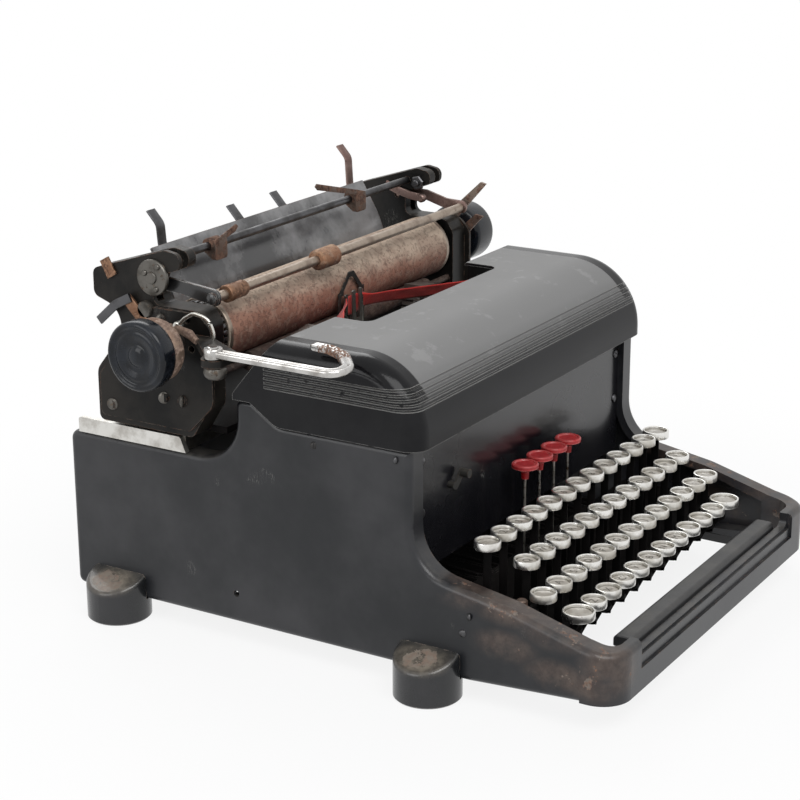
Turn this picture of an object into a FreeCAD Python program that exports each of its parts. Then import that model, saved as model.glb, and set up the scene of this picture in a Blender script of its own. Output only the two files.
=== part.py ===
import FreeCAD, Part
import math
import os

from FreeCAD import Vector

# A four-row desk typewriter, in millimetres. +X is the typist's right, +Y the rear, +Z up.
# The origin is on the table, under the middle of the machine.

# ---- driving dimensions: body ------------------------------------------------------------
BODY_HALF_WIDTH = 145.0       # outer faces of the side frames
BODY_FRONT = -187.5
BODY_REAR = 187.5
SIDE_WIDTH = 14.0             # width of the side frame's rim
SIDE_SKIN = 3.0
SIDE_RIM = 5.0
UNDERSIDE_Z = 13.0            # height of the frame over the table
FRONT_UNDERSIDE_Z = 17.5      # the frame's lower edge rises towards the typist
DECK_Z = 115.0                # rear shoulder that carries the carriage rails
SHOULDER_Z = 143.0            # seat of the top cover
SCOOP_Y = 61.0
SCOOP_RADIUS = 27.0
SCOOP_TIP_Z = 155.0
UPRIGHT_Y = -58.0             # front edge of the high part of the side frame
ARM_ROOT_Z = 73.0
ARM_ROOT_RADIUS = 28.0
ARM_FRONT_Z = 47.5
CORNER_JOINT_Y = -165.0       # side frame meets the front rail
CORNER_RADIUS = 18.0
RAIL_THICKNESS = 8.0
RAIL_TOP_Z = 39.0
RAIL_STEP_Z = 31.0
EAR_REACH = 33.0              # how far each raised corner runs along the front rail
EDGE_ROUND = 4.0
HALF_INSIDE = BODY_HALF_WIDTH - SIDE_WIDTH
HALF_POCKET = BODY_HALF_WIDTH - SIDE_SKIN

# ---- driving dimensions: cover and panels ------------------------------------------------
COVER_OVERHANG = 2.0
COVER_WALL = 2.0
COVER_FRONT_Y = -64.5
COVER_TOP_Z = 192.5
COVER_NOSE_RADIUS = 44.0
COVER_REAR_Y = 33.5
COVER_END_ROUND = 12.0
COVER_FLANGE_X = BODY_HALF_WIDTH - 8.0
GROOVE_COUNT = 5
GROOVE_FIRST_Z = 165.4
GROOVE_PITCH = 2.7
GROOVE_HEIGHT = 1.1
GROOVE_DEPTH = 0.7
TYPE_OPENING_HALF = 79.0
TYPE_OPENING_FRONT = 9.5
PANEL_Y = -54.0
PANEL_THICKNESS = 2.0
PANEL_FOOT_Z = 64.0
SELECTOR_X = 36.0 - HALF_INSIDE
SELECTOR_Z = 108.0

# ---- driving dimensions: feet ------------------------------------------------------------
FOOT_RADIUS = 20.0
FOOT_X = BODY_HALF_WIDTH + 2.0
FOOT_FRONT_Y = -70.5
FOOT_REAR_Y = 152.5
FOOT_HOOD_Z = 29.5
FOOT_BROW_Z = 21.0

# ---- driving dimensions: keyboard --------------------------------------------------------
KEY_SIDE_ROOM = 16.7          # side frame to the middle of the number row's first key
KEY_PITCH = (HALF_INSIDE - KEY_SIDE_ROOM) / 6
KEY_GAP = 3.55                # between two keys of a row
BIG_KEY_GAP = 1.8             # between a big key and its neighbour
KEY_RADIUS = (KEY_PITCH - KEY_GAP) / 2
BIG_KEY_RADIUS = KEY_PITCH - KEY_RADIUS - BIG_KEY_GAP
BACKSPACE_KEY_RADIUS = BIG_KEY_RADIUS - 0.9
KEY_RING_HEIGHT = 5.0
KEY_RING_WALL = 1.2
KEY_DISH = 0.5
LEVER_THICKNESS = 1.0
STEM_DEPTH = 5.0
# for each row, from the rear: y and height of the caps
KEY_ROWS = {
    "number": (-90.5, 87.5),
    "upper": (-109.15, 75.9),
    "home": (-127.45, 64.7),
    "lower": (-145.2, 54.1),
}
NUMBER_ROW_COUNT = 13
UPPER_ROW_COUNT = 12
HOME_ROW_COUNT = 13
LOWER_ROW_COUNT = 12
KEY_ROW_COUNTS = {"number": NUMBER_ROW_COUNT, "upper": UPPER_ROW_COUNT, "home": HOME_ROW_COUNT,
                  "lower": LOWER_ROW_COUNT}
# place of each row's first key, in key pitches from the middle of the machine
KEY_START_RATIO = {"number": -6.0, "upper": -5.344, "home": -6.1, "lower": -5.633}
STRIKE_ROW = "upper"
STRIKE_INDEX = 5
TAB_KEY_Y = -68.2
TAB_KEY_Z = 103.3
TAB_KEY_FIRST_X = -1.438 * KEY_PITCH
TAB_KEY_COUNT = 4
TAB_CAP_RADIUS = 8.2
TAB_STEM_RADIUS = 0.9
FULCRUM_Y = 150.0
FULCRUM_Z = 30.0
FULCRUM_RADIUS = 1.5
FULCRUM_EYE = 4.0
FULCRUM_EAR_X = HALF_INSIDE - 7.0
LEVER_TOP_Z = 29.0
LEVER_FOOT_Z = 24.0
COMB_Z = 35.6
COMB_THICKNESS = 2.0
COMB_REAR_Y = -56.0
COMB_TOOTH_RADIUS = 9.0
LOWER_STEM_LEAN = 9.5         # how far the front row's caps stand before their levers
LOWER_STEM_BEND_Z = 31.0
SPACE_BAR_HALF = HALF_INSIDE - 26.0
SPACE_BAR_FRONT = -178.5
SPACE_BAR_DEPTH = 13.0
SPACE_BAR_TOP_Z = 43.0
SPACE_BAR_HEIGHT = 7.0
SPACE_ARM_X = 5.2 * KEY_PITCH
SHIFT_TIE_Y = 100.0
SHIFT_TIE_Z = 38.0

# ---- driving dimensions: type basket -----------------------------------------------------
PLATEN_Y = 95.2
PLATEN_Z = 186.5
PLATEN_RADIUS = 20.5
PIVOT_Y = 63.0                # plane of the typebar pivots and of the raised typebars
TYPEBAR_LENGTH = 66.0         # pivot to printing point, and radius of the pivot arc
TYPEBAR_COUNT = 42
TYPEBAR_SPREAD = 150.0        # degrees between the first and the last typebar
TYPEBAR_WIDTH = 4.0
TYPEBAR_EYE = 3.0
SLUG_WIDTH = 2.6
SLUG_HEIGHT = 8.0
SLUG_GAP = 0.5                # raised type to platen
SEGMENT_INNER = TYPEBAR_LENGTH - 8.0
SEGMENT_OUTER = TYPEBAR_LENGTH + 12.0
SEGMENT_HALF_ANGLE = 82.0
SEGMENT_FRONT_Y = 55.0
SEGMENT_REAR_Y = 68.0
SLOT_RADIUS = TYPEBAR_LENGTH + 5.0
SLOT_CLEARANCE = 0.2
POST_X = SEGMENT_OUTER + 8.0
POST_RADIUS = 3.0
POST_TOP_Z = 172.0
RUNNING_FIT = 0.05
CROSS_BAR_Z = 44.0
CROSS_BAR_HEIGHT = 6.0

# ---- driving dimensions: ribbon ----------------------------------------------------------
SPOOL_X = HALF_INSIDE - 19.0
SPOOL_Y = 3.0
SPOOL_RADIUS = 23.0
SPOOL_HUB = 7.0
SPOOL_FLANGE = 1.2
RIBBON_WIDTH = 13.0
RIBBON_Z = 170.5
RIBBON_THICKNESS = 0.4
RIBBON_Y = 71.9
VIBRATOR_THICKNESS = 1.0
FORK_GAP = 7.5                # half the width of the fork's window
SPINDLE_RADIUS = 2.5

# ---- driving dimensions: carriage --------------------------------------------------------
CARRIAGE_HALF = 134.0         # inner faces of the end castings
END_THICKNESS = 16.0
BED_Z = 128.0
BED_THICKNESS = 4.0
BED_FRONT_Y = 75.0
BED_REAR_Y = 158.0
RAIL_GAP = 0.3
RAIL_SIZE = 7.0
RAIL_YS = (104.0, 148.0)
END_FRONT_Y = 71.2
END_PLATE = 2.0
PLATEN_HALF = CARRIAGE_HALF - 6.0
PLATEN_SHAFT_RADIUS = 5.0
KNOB_RADIUS = 20.8
KNOB_FACE_X = CARRIAGE_HALF + END_THICKNESS + END_PLATE + 40.0
KNOB_WIDTH = 24.0
RATCHET_TEETH = 30
RATCHET_RADIUS = 16.0
TRIM_TOP_Z = 124.5            # also the running height of the carriage rails
TRIM_FRONT_Y = 98.0
TRIM_THICKNESS = 3.8
FEED_RADIUS = 6.0
MARGIN_ROD_Y = 112.0
MARGIN_ROD_Z = 230.0
MARGIN_ROD_RADIUS = 2.5
TABLE_BEND = (123.0, 200.0)   # paper table, (y, z)
TABLE_TOP = (140.0, 229.0)
OUTER_FINGER_X = CARRIAGE_HALF - 29.0
FINGERS = ((-OUTER_FINGER_X, 250.0), (-24.0, 238.0), (24.0, 238.0), (OUTER_FINGER_X, 256.0))
RELEASE_PIVOTS = ((88.0, 200.0), (85.5, 183.0))
RELEASE_TIPS = ((60.0, 229.0), (62.0, 206.0))
RELEASE_WIDTHS = (4.0, 6.0)
MARGIN_STOP_XS = (42.0 - CARRIAGE_HALF, CARRIAGE_HALF - 69.0)
BAIL_ROD_Y = 74.5
BAIL_ROD_Z = 213.0
BAIL_ROD_RADIUS = 3.0
BAIL_PIVOT_Y = 120.0
BAIL_PIVOT_Z = 219.0
BAIL_ARM_X = CARRIAGE_HALF + 10.0
BAIL_ROLLER_X = -27.0
BAIL_ROLLER_RADIUS = 6.5
BAIL_ROLLER_LENGTH = 20.0
LEVER_PIVOT_X = -CARRIAGE_HALF - 52.5
LEVER_PIVOT_Y = 44.0
RETURN_LEVER_Z = 192.6
RETURN_LEVER_HEIGHT = 5.8
RETURN_LEVER_WIDTH = 7.0
LEVER_EYE_RADIUS = 5.5
# bends of the lever's centre line: x from the pivot, y, radius
LEVER_BENDS = ((0.0, -43.0, 9.0), (31.5, -33.0, 14.0), (41.5, 2.0, 0.0))
RACK_Y = 161.0
RACK_WIDTH = 6.0
ARBOR_RADIUS = 3.0
RACK_HALF = CARRIAGE_HALF - 6.0
GEAR_MODULE = 1.25
PINION_TEETH = 16
GEAR_BACKLASH = 0.25
DRUM_X = 57.0 - BODY_HALF_WIDTH
DRUM_Y = 158.0
DRUM_Z = 78.0
DRUM_RADIUS = 24.0
BELL_X = 70.0
BELL_Y = 150.0
BELL_Z = 70.0
BELL_RADIUS = 22.0


# ---- small helpers -----------------------------------------------------------------------
def box(x0, x1, y0, y1, z0, z1):
    return Part.makeBox(x1 - x0, y1 - y0, z1 - z0, Vector(x0, y0, z0))


def bar_x(y, z, radius, x0, x1):
    return Part.makeCylinder(radius, x1 - x0, Vector(x0, y, z), Vector(1, 0, 0))


def bar_y(x, z, radius, y0, y1):
    return Part.makeCylinder(radius, y1 - y0, Vector(x, y0, z), Vector(0, 1, 0))


def bar_z(x, y, radius, z0, z1):
    return Part.makeCylinder(radius, z1 - z0, Vector(x, y, z0), Vector(0, 0, 1))


def mirror_x(shape):
    return shape.mirror(Vector(0, 0, 0), Vector(1, 0, 0))


def fuse(first, *others):
    return first.fuse(list(others)).removeSplitter() if others else first


def corner_reaches(points, radii):
    """How far each corner's arc runs along its two edges, shortened where two arcs would meet."""
    count = len(points)
    halves, reaches = [], []
    for i, here in enumerate(points):
        half = (points[i - 1] - here).getAngle(points[(i + 1) % count] - here) / 2
        straight = half > math.pi / 2 - 1e-4
        halves.append(half)
        reaches.append(0 if straight or radii[i] <= 0 else radii[i] / math.tan(half))
    shares = [1.0] * count
    for i in range(count):
        following = (i + 1) % count
        wanted = reaches[i] + reaches[following]
        room = 0.98 * (points[following] - points[i]).Length
        if wanted > room:
            shares[i] = min(shares[i], room / wanted)
            shares[following] = min(shares[following], room / wanted)
    return halves, [reach * share for reach, share in zip(reaches, shares)]


def rounded_wire(corners, place):
    """A closed wire through corners (a, b, radius), each rounded by a tangent arc."""
    count = len(corners)
    points = [Vector(a, b, 0) for a, b, _ in corners]
    halves, reaches = corner_reaches(points, [radius for _, _, radius in corners])
    bends = []
    for i, here in enumerate(points):
        reach, half = reaches[i], halves[i]
        if reach <= 0:
            bends.append((here, None, here))
            continue
        before = (points[i - 1] - here).normalize()
        after = (points[(i + 1) % count] - here).normalize()
        bisector = (before + after).normalize()
        radius = reach * math.tan(half)
        middle = here + bisector * (radius / math.sin(half) - radius)
        bends.append((here + before * reach, middle, here + after * reach))
    edges = []
    for i, (start, middle, end) in enumerate(bends):
        if middle is not None:
            edges.append(Part.Arc(place(start), place(middle), place(end)).toShape())
        following = bends[(i + 1) % count][0]
        if (following - end).Length > 1e-6:
            edges.append(Part.LineSegment(place(end), place(following)).toShape())
    return Part.Wire(edges)


def plate_x(corners, x0, x1):
    """Outline in (y, z, radius), extruded from x0 to x1."""
    wire = rounded_wire(corners, lambda p: Vector(x0, p.x, p.y))
    return Part.Face(wire).extrude(Vector(x1 - x0, 0, 0))


def plate_y(corners, y0, y1):
    """Outline in (x, z, radius), extruded from y0 to y1."""
    wire = rounded_wire(corners, lambda p: Vector(p.x, y0, p.y))
    return Part.Face(wire).extrude(Vector(0, y1 - y0, 0))


def plate_z(corners, z0, z1):
    """Outline in (x, y, radius), extruded from z0 to z1."""
    wire = rounded_wire(corners, lambda p: Vector(p.x, p.y, z0))
    return Part.Face(wire).extrude(Vector(0, 0, z1 - z0))


def turned(profile, centre, axis):
    """Revolve (radius, height) points about an axis through centre."""
    axis = Vector(*axis)
    side = Vector(1, 0, 0) if abs(axis.x) < 0.5 else Vector(0, 1, 0)
    points = [centre + side * r + axis * h for r, h in profile]
    wire = Part.makePolygon(points + [points[0]])
    return Part.Face(wire).revolve(centre, axis, 360)


def round_edges(shape, radius, wanted):
    edges = [edge for edge in shape.Edges if wanted(edge)]
    return shape.makeFillet(radius, edges)


def at_x(edge, x, tolerance=0.01):
    bounds = edge.BoundBox
    return abs(bounds.XMin - x) < tolerance and abs(bounds.XMax - x) < tolerance


# ---- body --------------------------------------------------------------------------------
def side_outline(inset=0.0):
    """The side frame seen from the right: rear foot, deck, scoop, shoulder, upright and arm."""
    lift = inset
    return [
        (BODY_REAR - lift, UNDERSIDE_Z + lift, 5),
        (BODY_REAR - lift, DECK_Z - lift, 6),
        (SCOOP_Y - lift, DECK_Z - lift, SCOOP_RADIUS + lift),
        (SCOOP_Y - lift, SCOOP_TIP_Z - lift, 5),
        (SCOOP_Y - 12, SCOOP_TIP_Z - lift, 3),
        (SCOOP_Y - 30, SHOULDER_Z - lift, 12),
        (UPRIGHT_Y + lift, SHOULDER_Z - lift, 0),
        (UPRIGHT_Y + lift, ARM_ROOT_Z - lift, ARM_ROOT_RADIUS + lift),
        (-120, 62.5 - lift, 60),
        (CORNER_JOINT_Y + lift, 50.0 - lift, 0),
        (CORNER_JOINT_Y + lift, FRONT_UNDERSIDE_Z + lift, 0),
        (-95, UNDERSIDE_Z + lift, 60),
    ]


def right_side_frame():
    frame = plate_x(side_outline(), HALF_INSIDE, BODY_HALF_WIDTH)

    def on_show(edge):
        middle = edge.CenterOfMass
        free = middle.z > SHOULDER_Z - 0.5 and middle.y < SCOOP_Y - 20
        joint = abs(middle.y - CORNER_JOINT_Y) < 0.1
        return at_x(edge, BODY_HALF_WIDTH) and middle.z > 30 and not free and not joint

    frame = round_edges(frame, EDGE_ROUND, on_show)
    pocket = plate_x(side_outline(SIDE_RIM), HALF_INSIDE - 1, HALF_POCKET)
    return frame.cut([pocket, bar_x(63.7, 32, 2, HALF_INSIDE, BODY_HALF_WIDTH + 1)])


def front_rail():
    half = BODY_HALF_WIDTH
    inner_front = BODY_FRONT + RAIL_THICKNESS
    plan = [
        (-half, CORNER_JOINT_Y, 0), (-half, BODY_FRONT, CORNER_RADIUS),
        (half, BODY_FRONT, CORNER_RADIUS), (half, CORNER_JOINT_Y, 0),
        (HALF_INSIDE, CORNER_JOINT_Y, 0), (HALF_INSIDE, inner_front, 9),
        (-HALF_INSIDE, inner_front, 9), (-HALF_INSIDE, CORNER_JOINT_Y, 0),
    ]
    rail = plate_z(plan, FRONT_UNDERSIDE_Z, 60)
    slope_top = [(CORNER_JOINT_Y + 1, 50.3, 0), (CORNER_JOINT_Y + 1, 70, 0), (BODY_FRONT - 1, 70, 0),
                 (BODY_FRONT - 1, ARM_FRONT_Z, 0), (BODY_FRONT + 10, ARM_FRONT_Z, 20)]
    rail = rail.cut(plate_x(slope_top, -half - 1, half + 1))

    def top_outside(edge):
        bounds = edge.BoundBox
        joint = bounds.YMin > CORNER_JOINT_Y - 0.1
        outer = bounds.YMin < BODY_FRONT + 0.1 or abs(edge.CenterOfMass.x) > half - 6
        return bounds.ZMin > ARM_FRONT_Z - 1 and outer and not joint

    rail = round_edges(rail, EDGE_ROUND, top_outside)
    reach = half - EAR_REACH
    gap = plate_y([(-reach, RAIL_TOP_Z, 4), (reach, RAIL_TOP_Z, 4), (reach, 62, 0), (-reach, 62, 0)],
                  BODY_FRONT - 1, inner_front + 1)
    rail = rail.cut(gap)
    step = plate_y([(-reach - 2, RAIL_STEP_Z, 0), (reach + 2, RAIL_STEP_Z, 0), (reach + 2, 62, 0),
                    (-reach - 2, 62, 0)], BODY_FRONT - 1, BODY_FRONT + 1.6)
    bead = plate_y([(-reach - 1, RAIL_TOP_Z - 1.6, 0), (reach + 1, RAIL_TOP_Z - 1.6, 0),
                    (reach + 1, 62, 0), (-reach - 1, 62, 0)], BODY_FRONT - 1, BODY_FRONT + 3.2)
    return rail.cut([step, bead])


def bottom_frame():
    """The flat bottom frame, with two ears that hold the key fulcrum."""
    top = UNDERSIDE_Z + 3
    half = HALF_INSIDE
    ring = box(-half, half, -50, BODY_REAR - SIDE_RIM - 3, UNDERSIDE_Z, top)
    bay = half - 19
    window = plate_z([(-bay, -30, 6), (bay, -30, 6), (bay, 165, 6), (-bay, 165, 6)], UNDERSIDE_Z - 1, top + 1)
    frame = ring.cut(window)
    for side in (-1, 1):
        x = side * FULCRUM_EAR_X
        ear = plate_x([(FULCRUM_Y - 8, top - 1, 0), (FULCRUM_Y - 5, FULCRUM_Z + 5, 4),
                       (FULCRUM_Y + 5, FULCRUM_Z + 5, 4), (FULCRUM_Y + 8, top - 1, 0)], x - 2, x + 2)
        frame = frame.fuse(ear)
    hole = bar_x(FULCRUM_Y, FULCRUM_Z, FULCRUM_RADIUS, -half, half)
    return frame.cut(hole).removeSplitter()


REAR_PANEL_Y = BODY_REAR - SIDE_RIM      # rear face of the rear panel
REAR_PANEL_THICKNESS = 3.0


def rear_panel():
    """The plate across the back, raised in the middle to carry the escapement arbor."""
    low = UNDERSIDE_Z + SIDE_RIM
    high = DECK_Z - SIDE_RIM
    peak = escapement_z() + 8
    half, side = HALF_INSIDE, HALF_POCKET
    outline = [(-half, low, 0), (half, low, 0), (half, low + 8, 0), (side, low + 8, 0), (side, high - 8, 0),
               (half, high - 8, 0), (half, high, 0), (30, high, 10), (16, peak, 7), (-16, peak, 7),
               (-30, high, 10), (-half, high, 0), (-half, high - 8, 0), (-side, high - 8, 0),
               (-side, low + 8, 0), (-half, low + 8, 0)]
    panel = plate_y(outline, REAR_PANEL_Y - REAR_PANEL_THICKNESS, REAR_PANEL_Y)
    inner = [(-HALF_INSIDE + 14, 34, 8), (HALF_INSIDE - 14, 34, 8), (HALF_INSIDE - 14, 96, 8),
             (-HALF_INSIDE + 14, 96, 8)]
    panel = panel.cut(plate_y(inner, REAR_PANEL_Y - 0.8, REAR_PANEL_Y + 1))
    front = REAR_PANEL_Y - REAR_PANEL_THICKNESS - 1
    return panel.cut([bar_y(0, escapement_z(), ARBOR_RADIUS + RUNNING_FIT, front, REAR_PANEL_Y + 1),
                      bar_y(DRUM_X, DRUM_Z, ARBOR_RADIUS + RUNNING_FIT, front, REAR_PANEL_Y + 1)])


def cross_bar_y():
    return (SEGMENT_FRONT_Y + SEGMENT_REAR_Y) / 2


def cross_bar():
    """The bar across the middle, with the two posts that the type basket slides on."""
    z1 = CROSS_BAR_Z + CROSS_BAR_HEIGHT
    middle = cross_bar_y()
    bar = box(-HALF_POCKET, HALF_POCKET, middle - 9, middle + 9, CROSS_BAR_Z, z1)
    posts = [bar_z(side * POST_X, middle, POST_RADIUS, z1, POST_TOP_Z) for side in (-1, 1)]
    return fuse(bar, *posts)


def cover_form(inset=0.0):
    """The closed outer form of the top cover, set in by inset all round."""
    bottom = SHOULDER_Z + (0 if inset == 0 else -5)
    outline = [
        (COVER_FRONT_Y + inset, bottom, 0),
        (COVER_FRONT_Y + inset, COVER_TOP_Z - inset, COVER_NOSE_RADIUS - inset),
        (COVER_REAR_Y, COVER_TOP_Z - inset, 0),
        (SCOOP_Y - inset, SCOOP_TIP_Z + 4, 4),
        (SCOOP_Y - inset, SCOOP_TIP_Z, 0),
        (SCOOP_Y - 12, SCOOP_TIP_Z, 3),
        (SCOOP_Y - 30, bottom, 12),
    ]
    half = BODY_HALF_WIDTH + COVER_OVERHANG - inset
    form = plate_x(outline, -half, half)

    def end_edge(edge):
        middle = edge.CenterOfMass
        flat_end = at_x(edge, half) or at_x(edge, -half)
        top = middle.z > COVER_TOP_Z - inset - 0.5
        nose = middle.z > SHOULDER_Z + 6 and middle.y < COVER_FRONT_Y + COVER_NOSE_RADIUS
        return flat_end and (top or nose)

    return round_edges(form, COVER_END_ROUND - inset, end_edge)


def top_cover():
    """A pressed shell, open below and behind, with an inner flange that sits on the body."""
    cover = cover_form()
    half = BODY_HALF_WIDTH + COVER_OVERHANG - COVER_WALL
    hollow_outline = [
        (COVER_FRONT_Y + COVER_WALL, SHOULDER_Z + COVER_WALL, 0),
        (COVER_FRONT_Y + COVER_WALL, COVER_TOP_Z - COVER_WALL, COVER_NOSE_RADIUS - COVER_WALL),
        (SCOOP_Y + 20, COVER_TOP_Z - COVER_WALL, 0),
        (SCOOP_Y + 20, SHOULDER_Z + COVER_WALL, 0),
    ]
    hollow = plate_x(hollow_outline, -half, half)

    def end_edge(edge):
        middle = edge.CenterOfMass
        flat_end = at_x(edge, half) or at_x(edge, -half)
        return flat_end and middle.z > SHOULDER_Z + 6 and middle.y < SCOOP_Y + 19

    hollow = round_edges(hollow, COVER_END_ROUND - COVER_WALL, end_edge)
    low, flange_top = SHOULDER_Z - 1, SHOULDER_Z + COVER_WALL + 0.01
    inside_flange = box(-COVER_FLANGE_X, COVER_FLANGE_X, PANEL_Y + 6, SCOOP_Y + 20, low, flange_top)
    behind_flange = box(-half, half, SCOOP_Y - 45, SCOOP_Y + 20, low, flange_top)
    cover = cover.cut([hollow, inside_flange, behind_flange])
    shy = cover_form(GROOVE_DEPTH)
    slabs = []
    for i in range(GROOVE_COUNT):
        z = GROOVE_FIRST_Z + i * GROOVE_PITCH
        slab = box(-160, 160, COVER_FRONT_Y - 1, COVER_REAR_Y + 5, z, z + GROOVE_HEIGHT)
        slabs.append(slab.cut(shy))
    cover = cover.cut(slabs)
    opening = plate_z([(-TYPE_OPENING_HALF, TYPE_OPENING_FRONT, 7), (TYPE_OPENING_HALF, TYPE_OPENING_FRONT, 7),
                       (TYPE_OPENING_HALF, SCOOP_Y + 5, 0), (-TYPE_OPENING_HALF, SCOOP_Y + 5, 0)],
                      COVER_TOP_Z - 12, COVER_TOP_Z + 1)
    return cover.cut(opening)


def front_panel():
    half = HALF_INSIDE
    panel = plate_y([(-half, PANEL_FOOT_Z, 3), (half, PANEL_FOOT_Z, 3), (half, SHOULDER_Z, 0),
                     (-half, SHOULDER_Z, 0)], PANEL_Y, PANEL_Y + PANEL_THICKNESS)
    lip = box(-half, half, PANEL_Y, PANEL_Y + 12, SHOULDER_Z - 2, SHOULDER_Z)
    foot = box(-half, half, PANEL_Y, PANEL_Y + 6, PANEL_FOOT_Z, PANEL_FOOT_Z + 2)
    panel = fuse(panel, lip, foot)
    return panel.cut(bar_y(SELECTOR_X, SELECTOR_Z, 2 + RUNNING_FIT, PANEL_Y - 1, PANEL_Y + 3))


def feet():
    """Four feet, each with a hood that stands up outside the side frame."""
    def foot(y):
        body = bar_z(FOOT_X, y, FOOT_RADIUS, 0, FOOT_HOOD_Z + 4)
        drop = FOOT_HOOD_Z - FOOT_BROW_Z
        reach = FOOT_X + FOOT_RADIUS - BODY_HALF_WIDTH
        slope = plate_y([(BODY_HALF_WIDTH - 1, FOOT_HOOD_Z + drop / reach, 0),
                         (FOOT_X + FOOT_RADIUS + 1, FOOT_BROW_Z - drop / reach, 0),
                         (FOOT_X + FOOT_RADIUS + 1, 60, 0), (BODY_HALF_WIDTH - 1, 60, 0)], y - 30, y + 30)
        under = box(FOOT_X - FOOT_RADIUS - 1, BODY_HALF_WIDTH, y - 30, y + 30, UNDERSIDE_Z, 60)
        body = body.cut([slope, under])
        rim = [edge for edge in body.Edges
               if edge.CenterOfMass.z > FOOT_BROW_Z - 2 and edge.CenterOfMass.x > BODY_HALF_WIDTH + 4]
        body = body.makeFillet(3.0, rim)
        sole = [edge for edge in body.Edges if edge.BoundBox.ZMax < 0.01]
        return body.makeChamfer(1.0, sole)

    right = [foot(FOOT_FRONT_Y), foot(FOOT_REAR_Y)]
    return Part.makeCompound(right + [mirror_x(shape) for shape in right])


def trim_strips():
    strip = plate_x([(TRIM_FRONT_Y, DECK_Z, 0), (TRIM_FRONT_Y + 4, TRIM_TOP_Z, 2),
                     (BODY_REAR - 8, TRIM_TOP_Z, 2), (BODY_REAR - 8, DECK_Z, 0)],
                    BODY_HALF_WIDTH - TRIM_THICKNESS, BODY_HALF_WIDTH)
    return Part.makeCompound([strip, mirror_x(strip)])


def carriage_rails():
    half = BODY_HALF_WIDTH - TRIM_THICKNESS
    return Part.makeCompound([
        box(-half, half, y - RAIL_SIZE / 2, y + RAIL_SIZE / 2, DECK_Z, TRIM_TOP_Z) for y in RAIL_YS])


# ---- keyboard ----------------------------------------------------------------------------
def lever_bar(x, front, thickness=LEVER_THICKNESS):
    """A flat bar on edge, from its eye on the fulcrum to its front end."""
    x0, x1 = x - thickness / 2, x + thickness / 2
    eye = FULCRUM_EYE
    outline = [
        (FULCRUM_Y + eye, FULCRUM_Z - eye, eye - 0.1), (FULCRUM_Y + eye, FULCRUM_Z + eye, eye - 0.1),
        (FULCRUM_Y - 2 * eye, FULCRUM_Z + eye, 3), (front, LEVER_TOP_Z, 0), (front, LEVER_FOOT_Z, 2),
    ]
    hole = bar_x(FULCRUM_Y, FULCRUM_Z, FULCRUM_RADIUS + RUNNING_FIT, x0 - 1, x1 + 1)
    return plate_x(outline, x0, x1).cut(hole)


def lever_height(y, front):
    """Height of a lever bar's straight upper edge at y."""
    rear = FULCRUM_Y - 2 * FULCRUM_EYE
    return LEVER_TOP_Z + (FULCRUM_Z + FULCRUM_EYE - LEVER_TOP_Z) * (y - front) / (rear - front)


def key_stem(x, y, top, lean):
    """The blade that stands on a lever bar's front end and leans forward by lean, under the cap."""
    front, rear = y - STEM_DEPTH / 2, y + STEM_DEPTH / 2
    foot, heel = front + lean, rear + lean
    outline = [(foot, LEVER_TOP_Z, 0), (heel, lever_height(heel, foot), 0), (rear, top, 0), (front, top, 0)]
    if lean:
        outline.insert(2, (heel, LOWER_STEM_BEND_Z, 0))
        outline.append((foot, LOWER_STEM_BEND_Z, 0))
    return plate_x(outline, x - LEVER_THICKNESS / 2, x + LEVER_THICKNESS / 2)


def key_cap(x, y, top, radius):
    """Two solids: a metal ring with a floor, and the dished disc that it holds."""
    foot = top - KEY_RING_HEIGHT
    inner = radius - KEY_RING_WALL
    dish_z = top - KEY_DISH
    ring = turned([(0, 0), (radius - 1.0, 0), (radius, 1.0), (radius, KEY_RING_HEIGHT - 0.5),
                   (radius - 0.5, KEY_RING_HEIGHT), (inner, KEY_RING_HEIGHT), (inner, 2.0), (0, 2.0)],
                  Vector(x, y, foot), (0, 0, 1))
    disc = bar_z(x, y, inner, foot + 2.0, dish_z)
    return [ring, disc]


def key(x, y, top, radius=KEY_RADIUS, lean=0.0):
    """Four solids: ring, disc, stem and lever bar."""
    return key_cap(x, y, top, radius) + [key_stem(x, y, top - KEY_RING_HEIGHT, lean),
                                         lever_bar(x, y + lean - STEM_DEPTH / 2)]


def key_place(row, index):
    y, top = KEY_ROWS[row]
    return (KEY_START_RATIO[row] + index) * KEY_PITCH, y, top


SPECIAL_KEYS = {
    ("number", 0): "margin_release_key",
    ("number", 12): "backspace_key",
    ("home", 0): "shift_lock_key",
    ("lower", 0): "shift_keys",
    ("lower", 11): "shift_keys",
    (STRIKE_ROW, STRIKE_INDEX): "strike_key",
}


def key_radius(row, index):
    name = SPECIAL_KEYS.get((row, index))
    return {"shift_keys": BIG_KEY_RADIUS, "backspace_key": BACKSPACE_KEY_RADIUS}.get(name, KEY_RADIUS)


def key_lean(row):
    return LOWER_STEM_LEAN if row == "lower" else 0.0


def key_nodes():
    nodes = {}
    for row, count in KEY_ROW_COUNTS.items():
        for index in range(count):
            name = SPECIAL_KEYS.get((row, index), f"{row}_row_keys")
            x, y, top = key_place(row, index)
            nodes.setdefault(name, []).extend(key(x, y, top, key_radius(row, index), key_lean(row)))
    nodes["shift_keys"] += shift_tie()
    return {name: Part.makeCompound(shapes) for name, shapes in nodes.items()}


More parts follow.
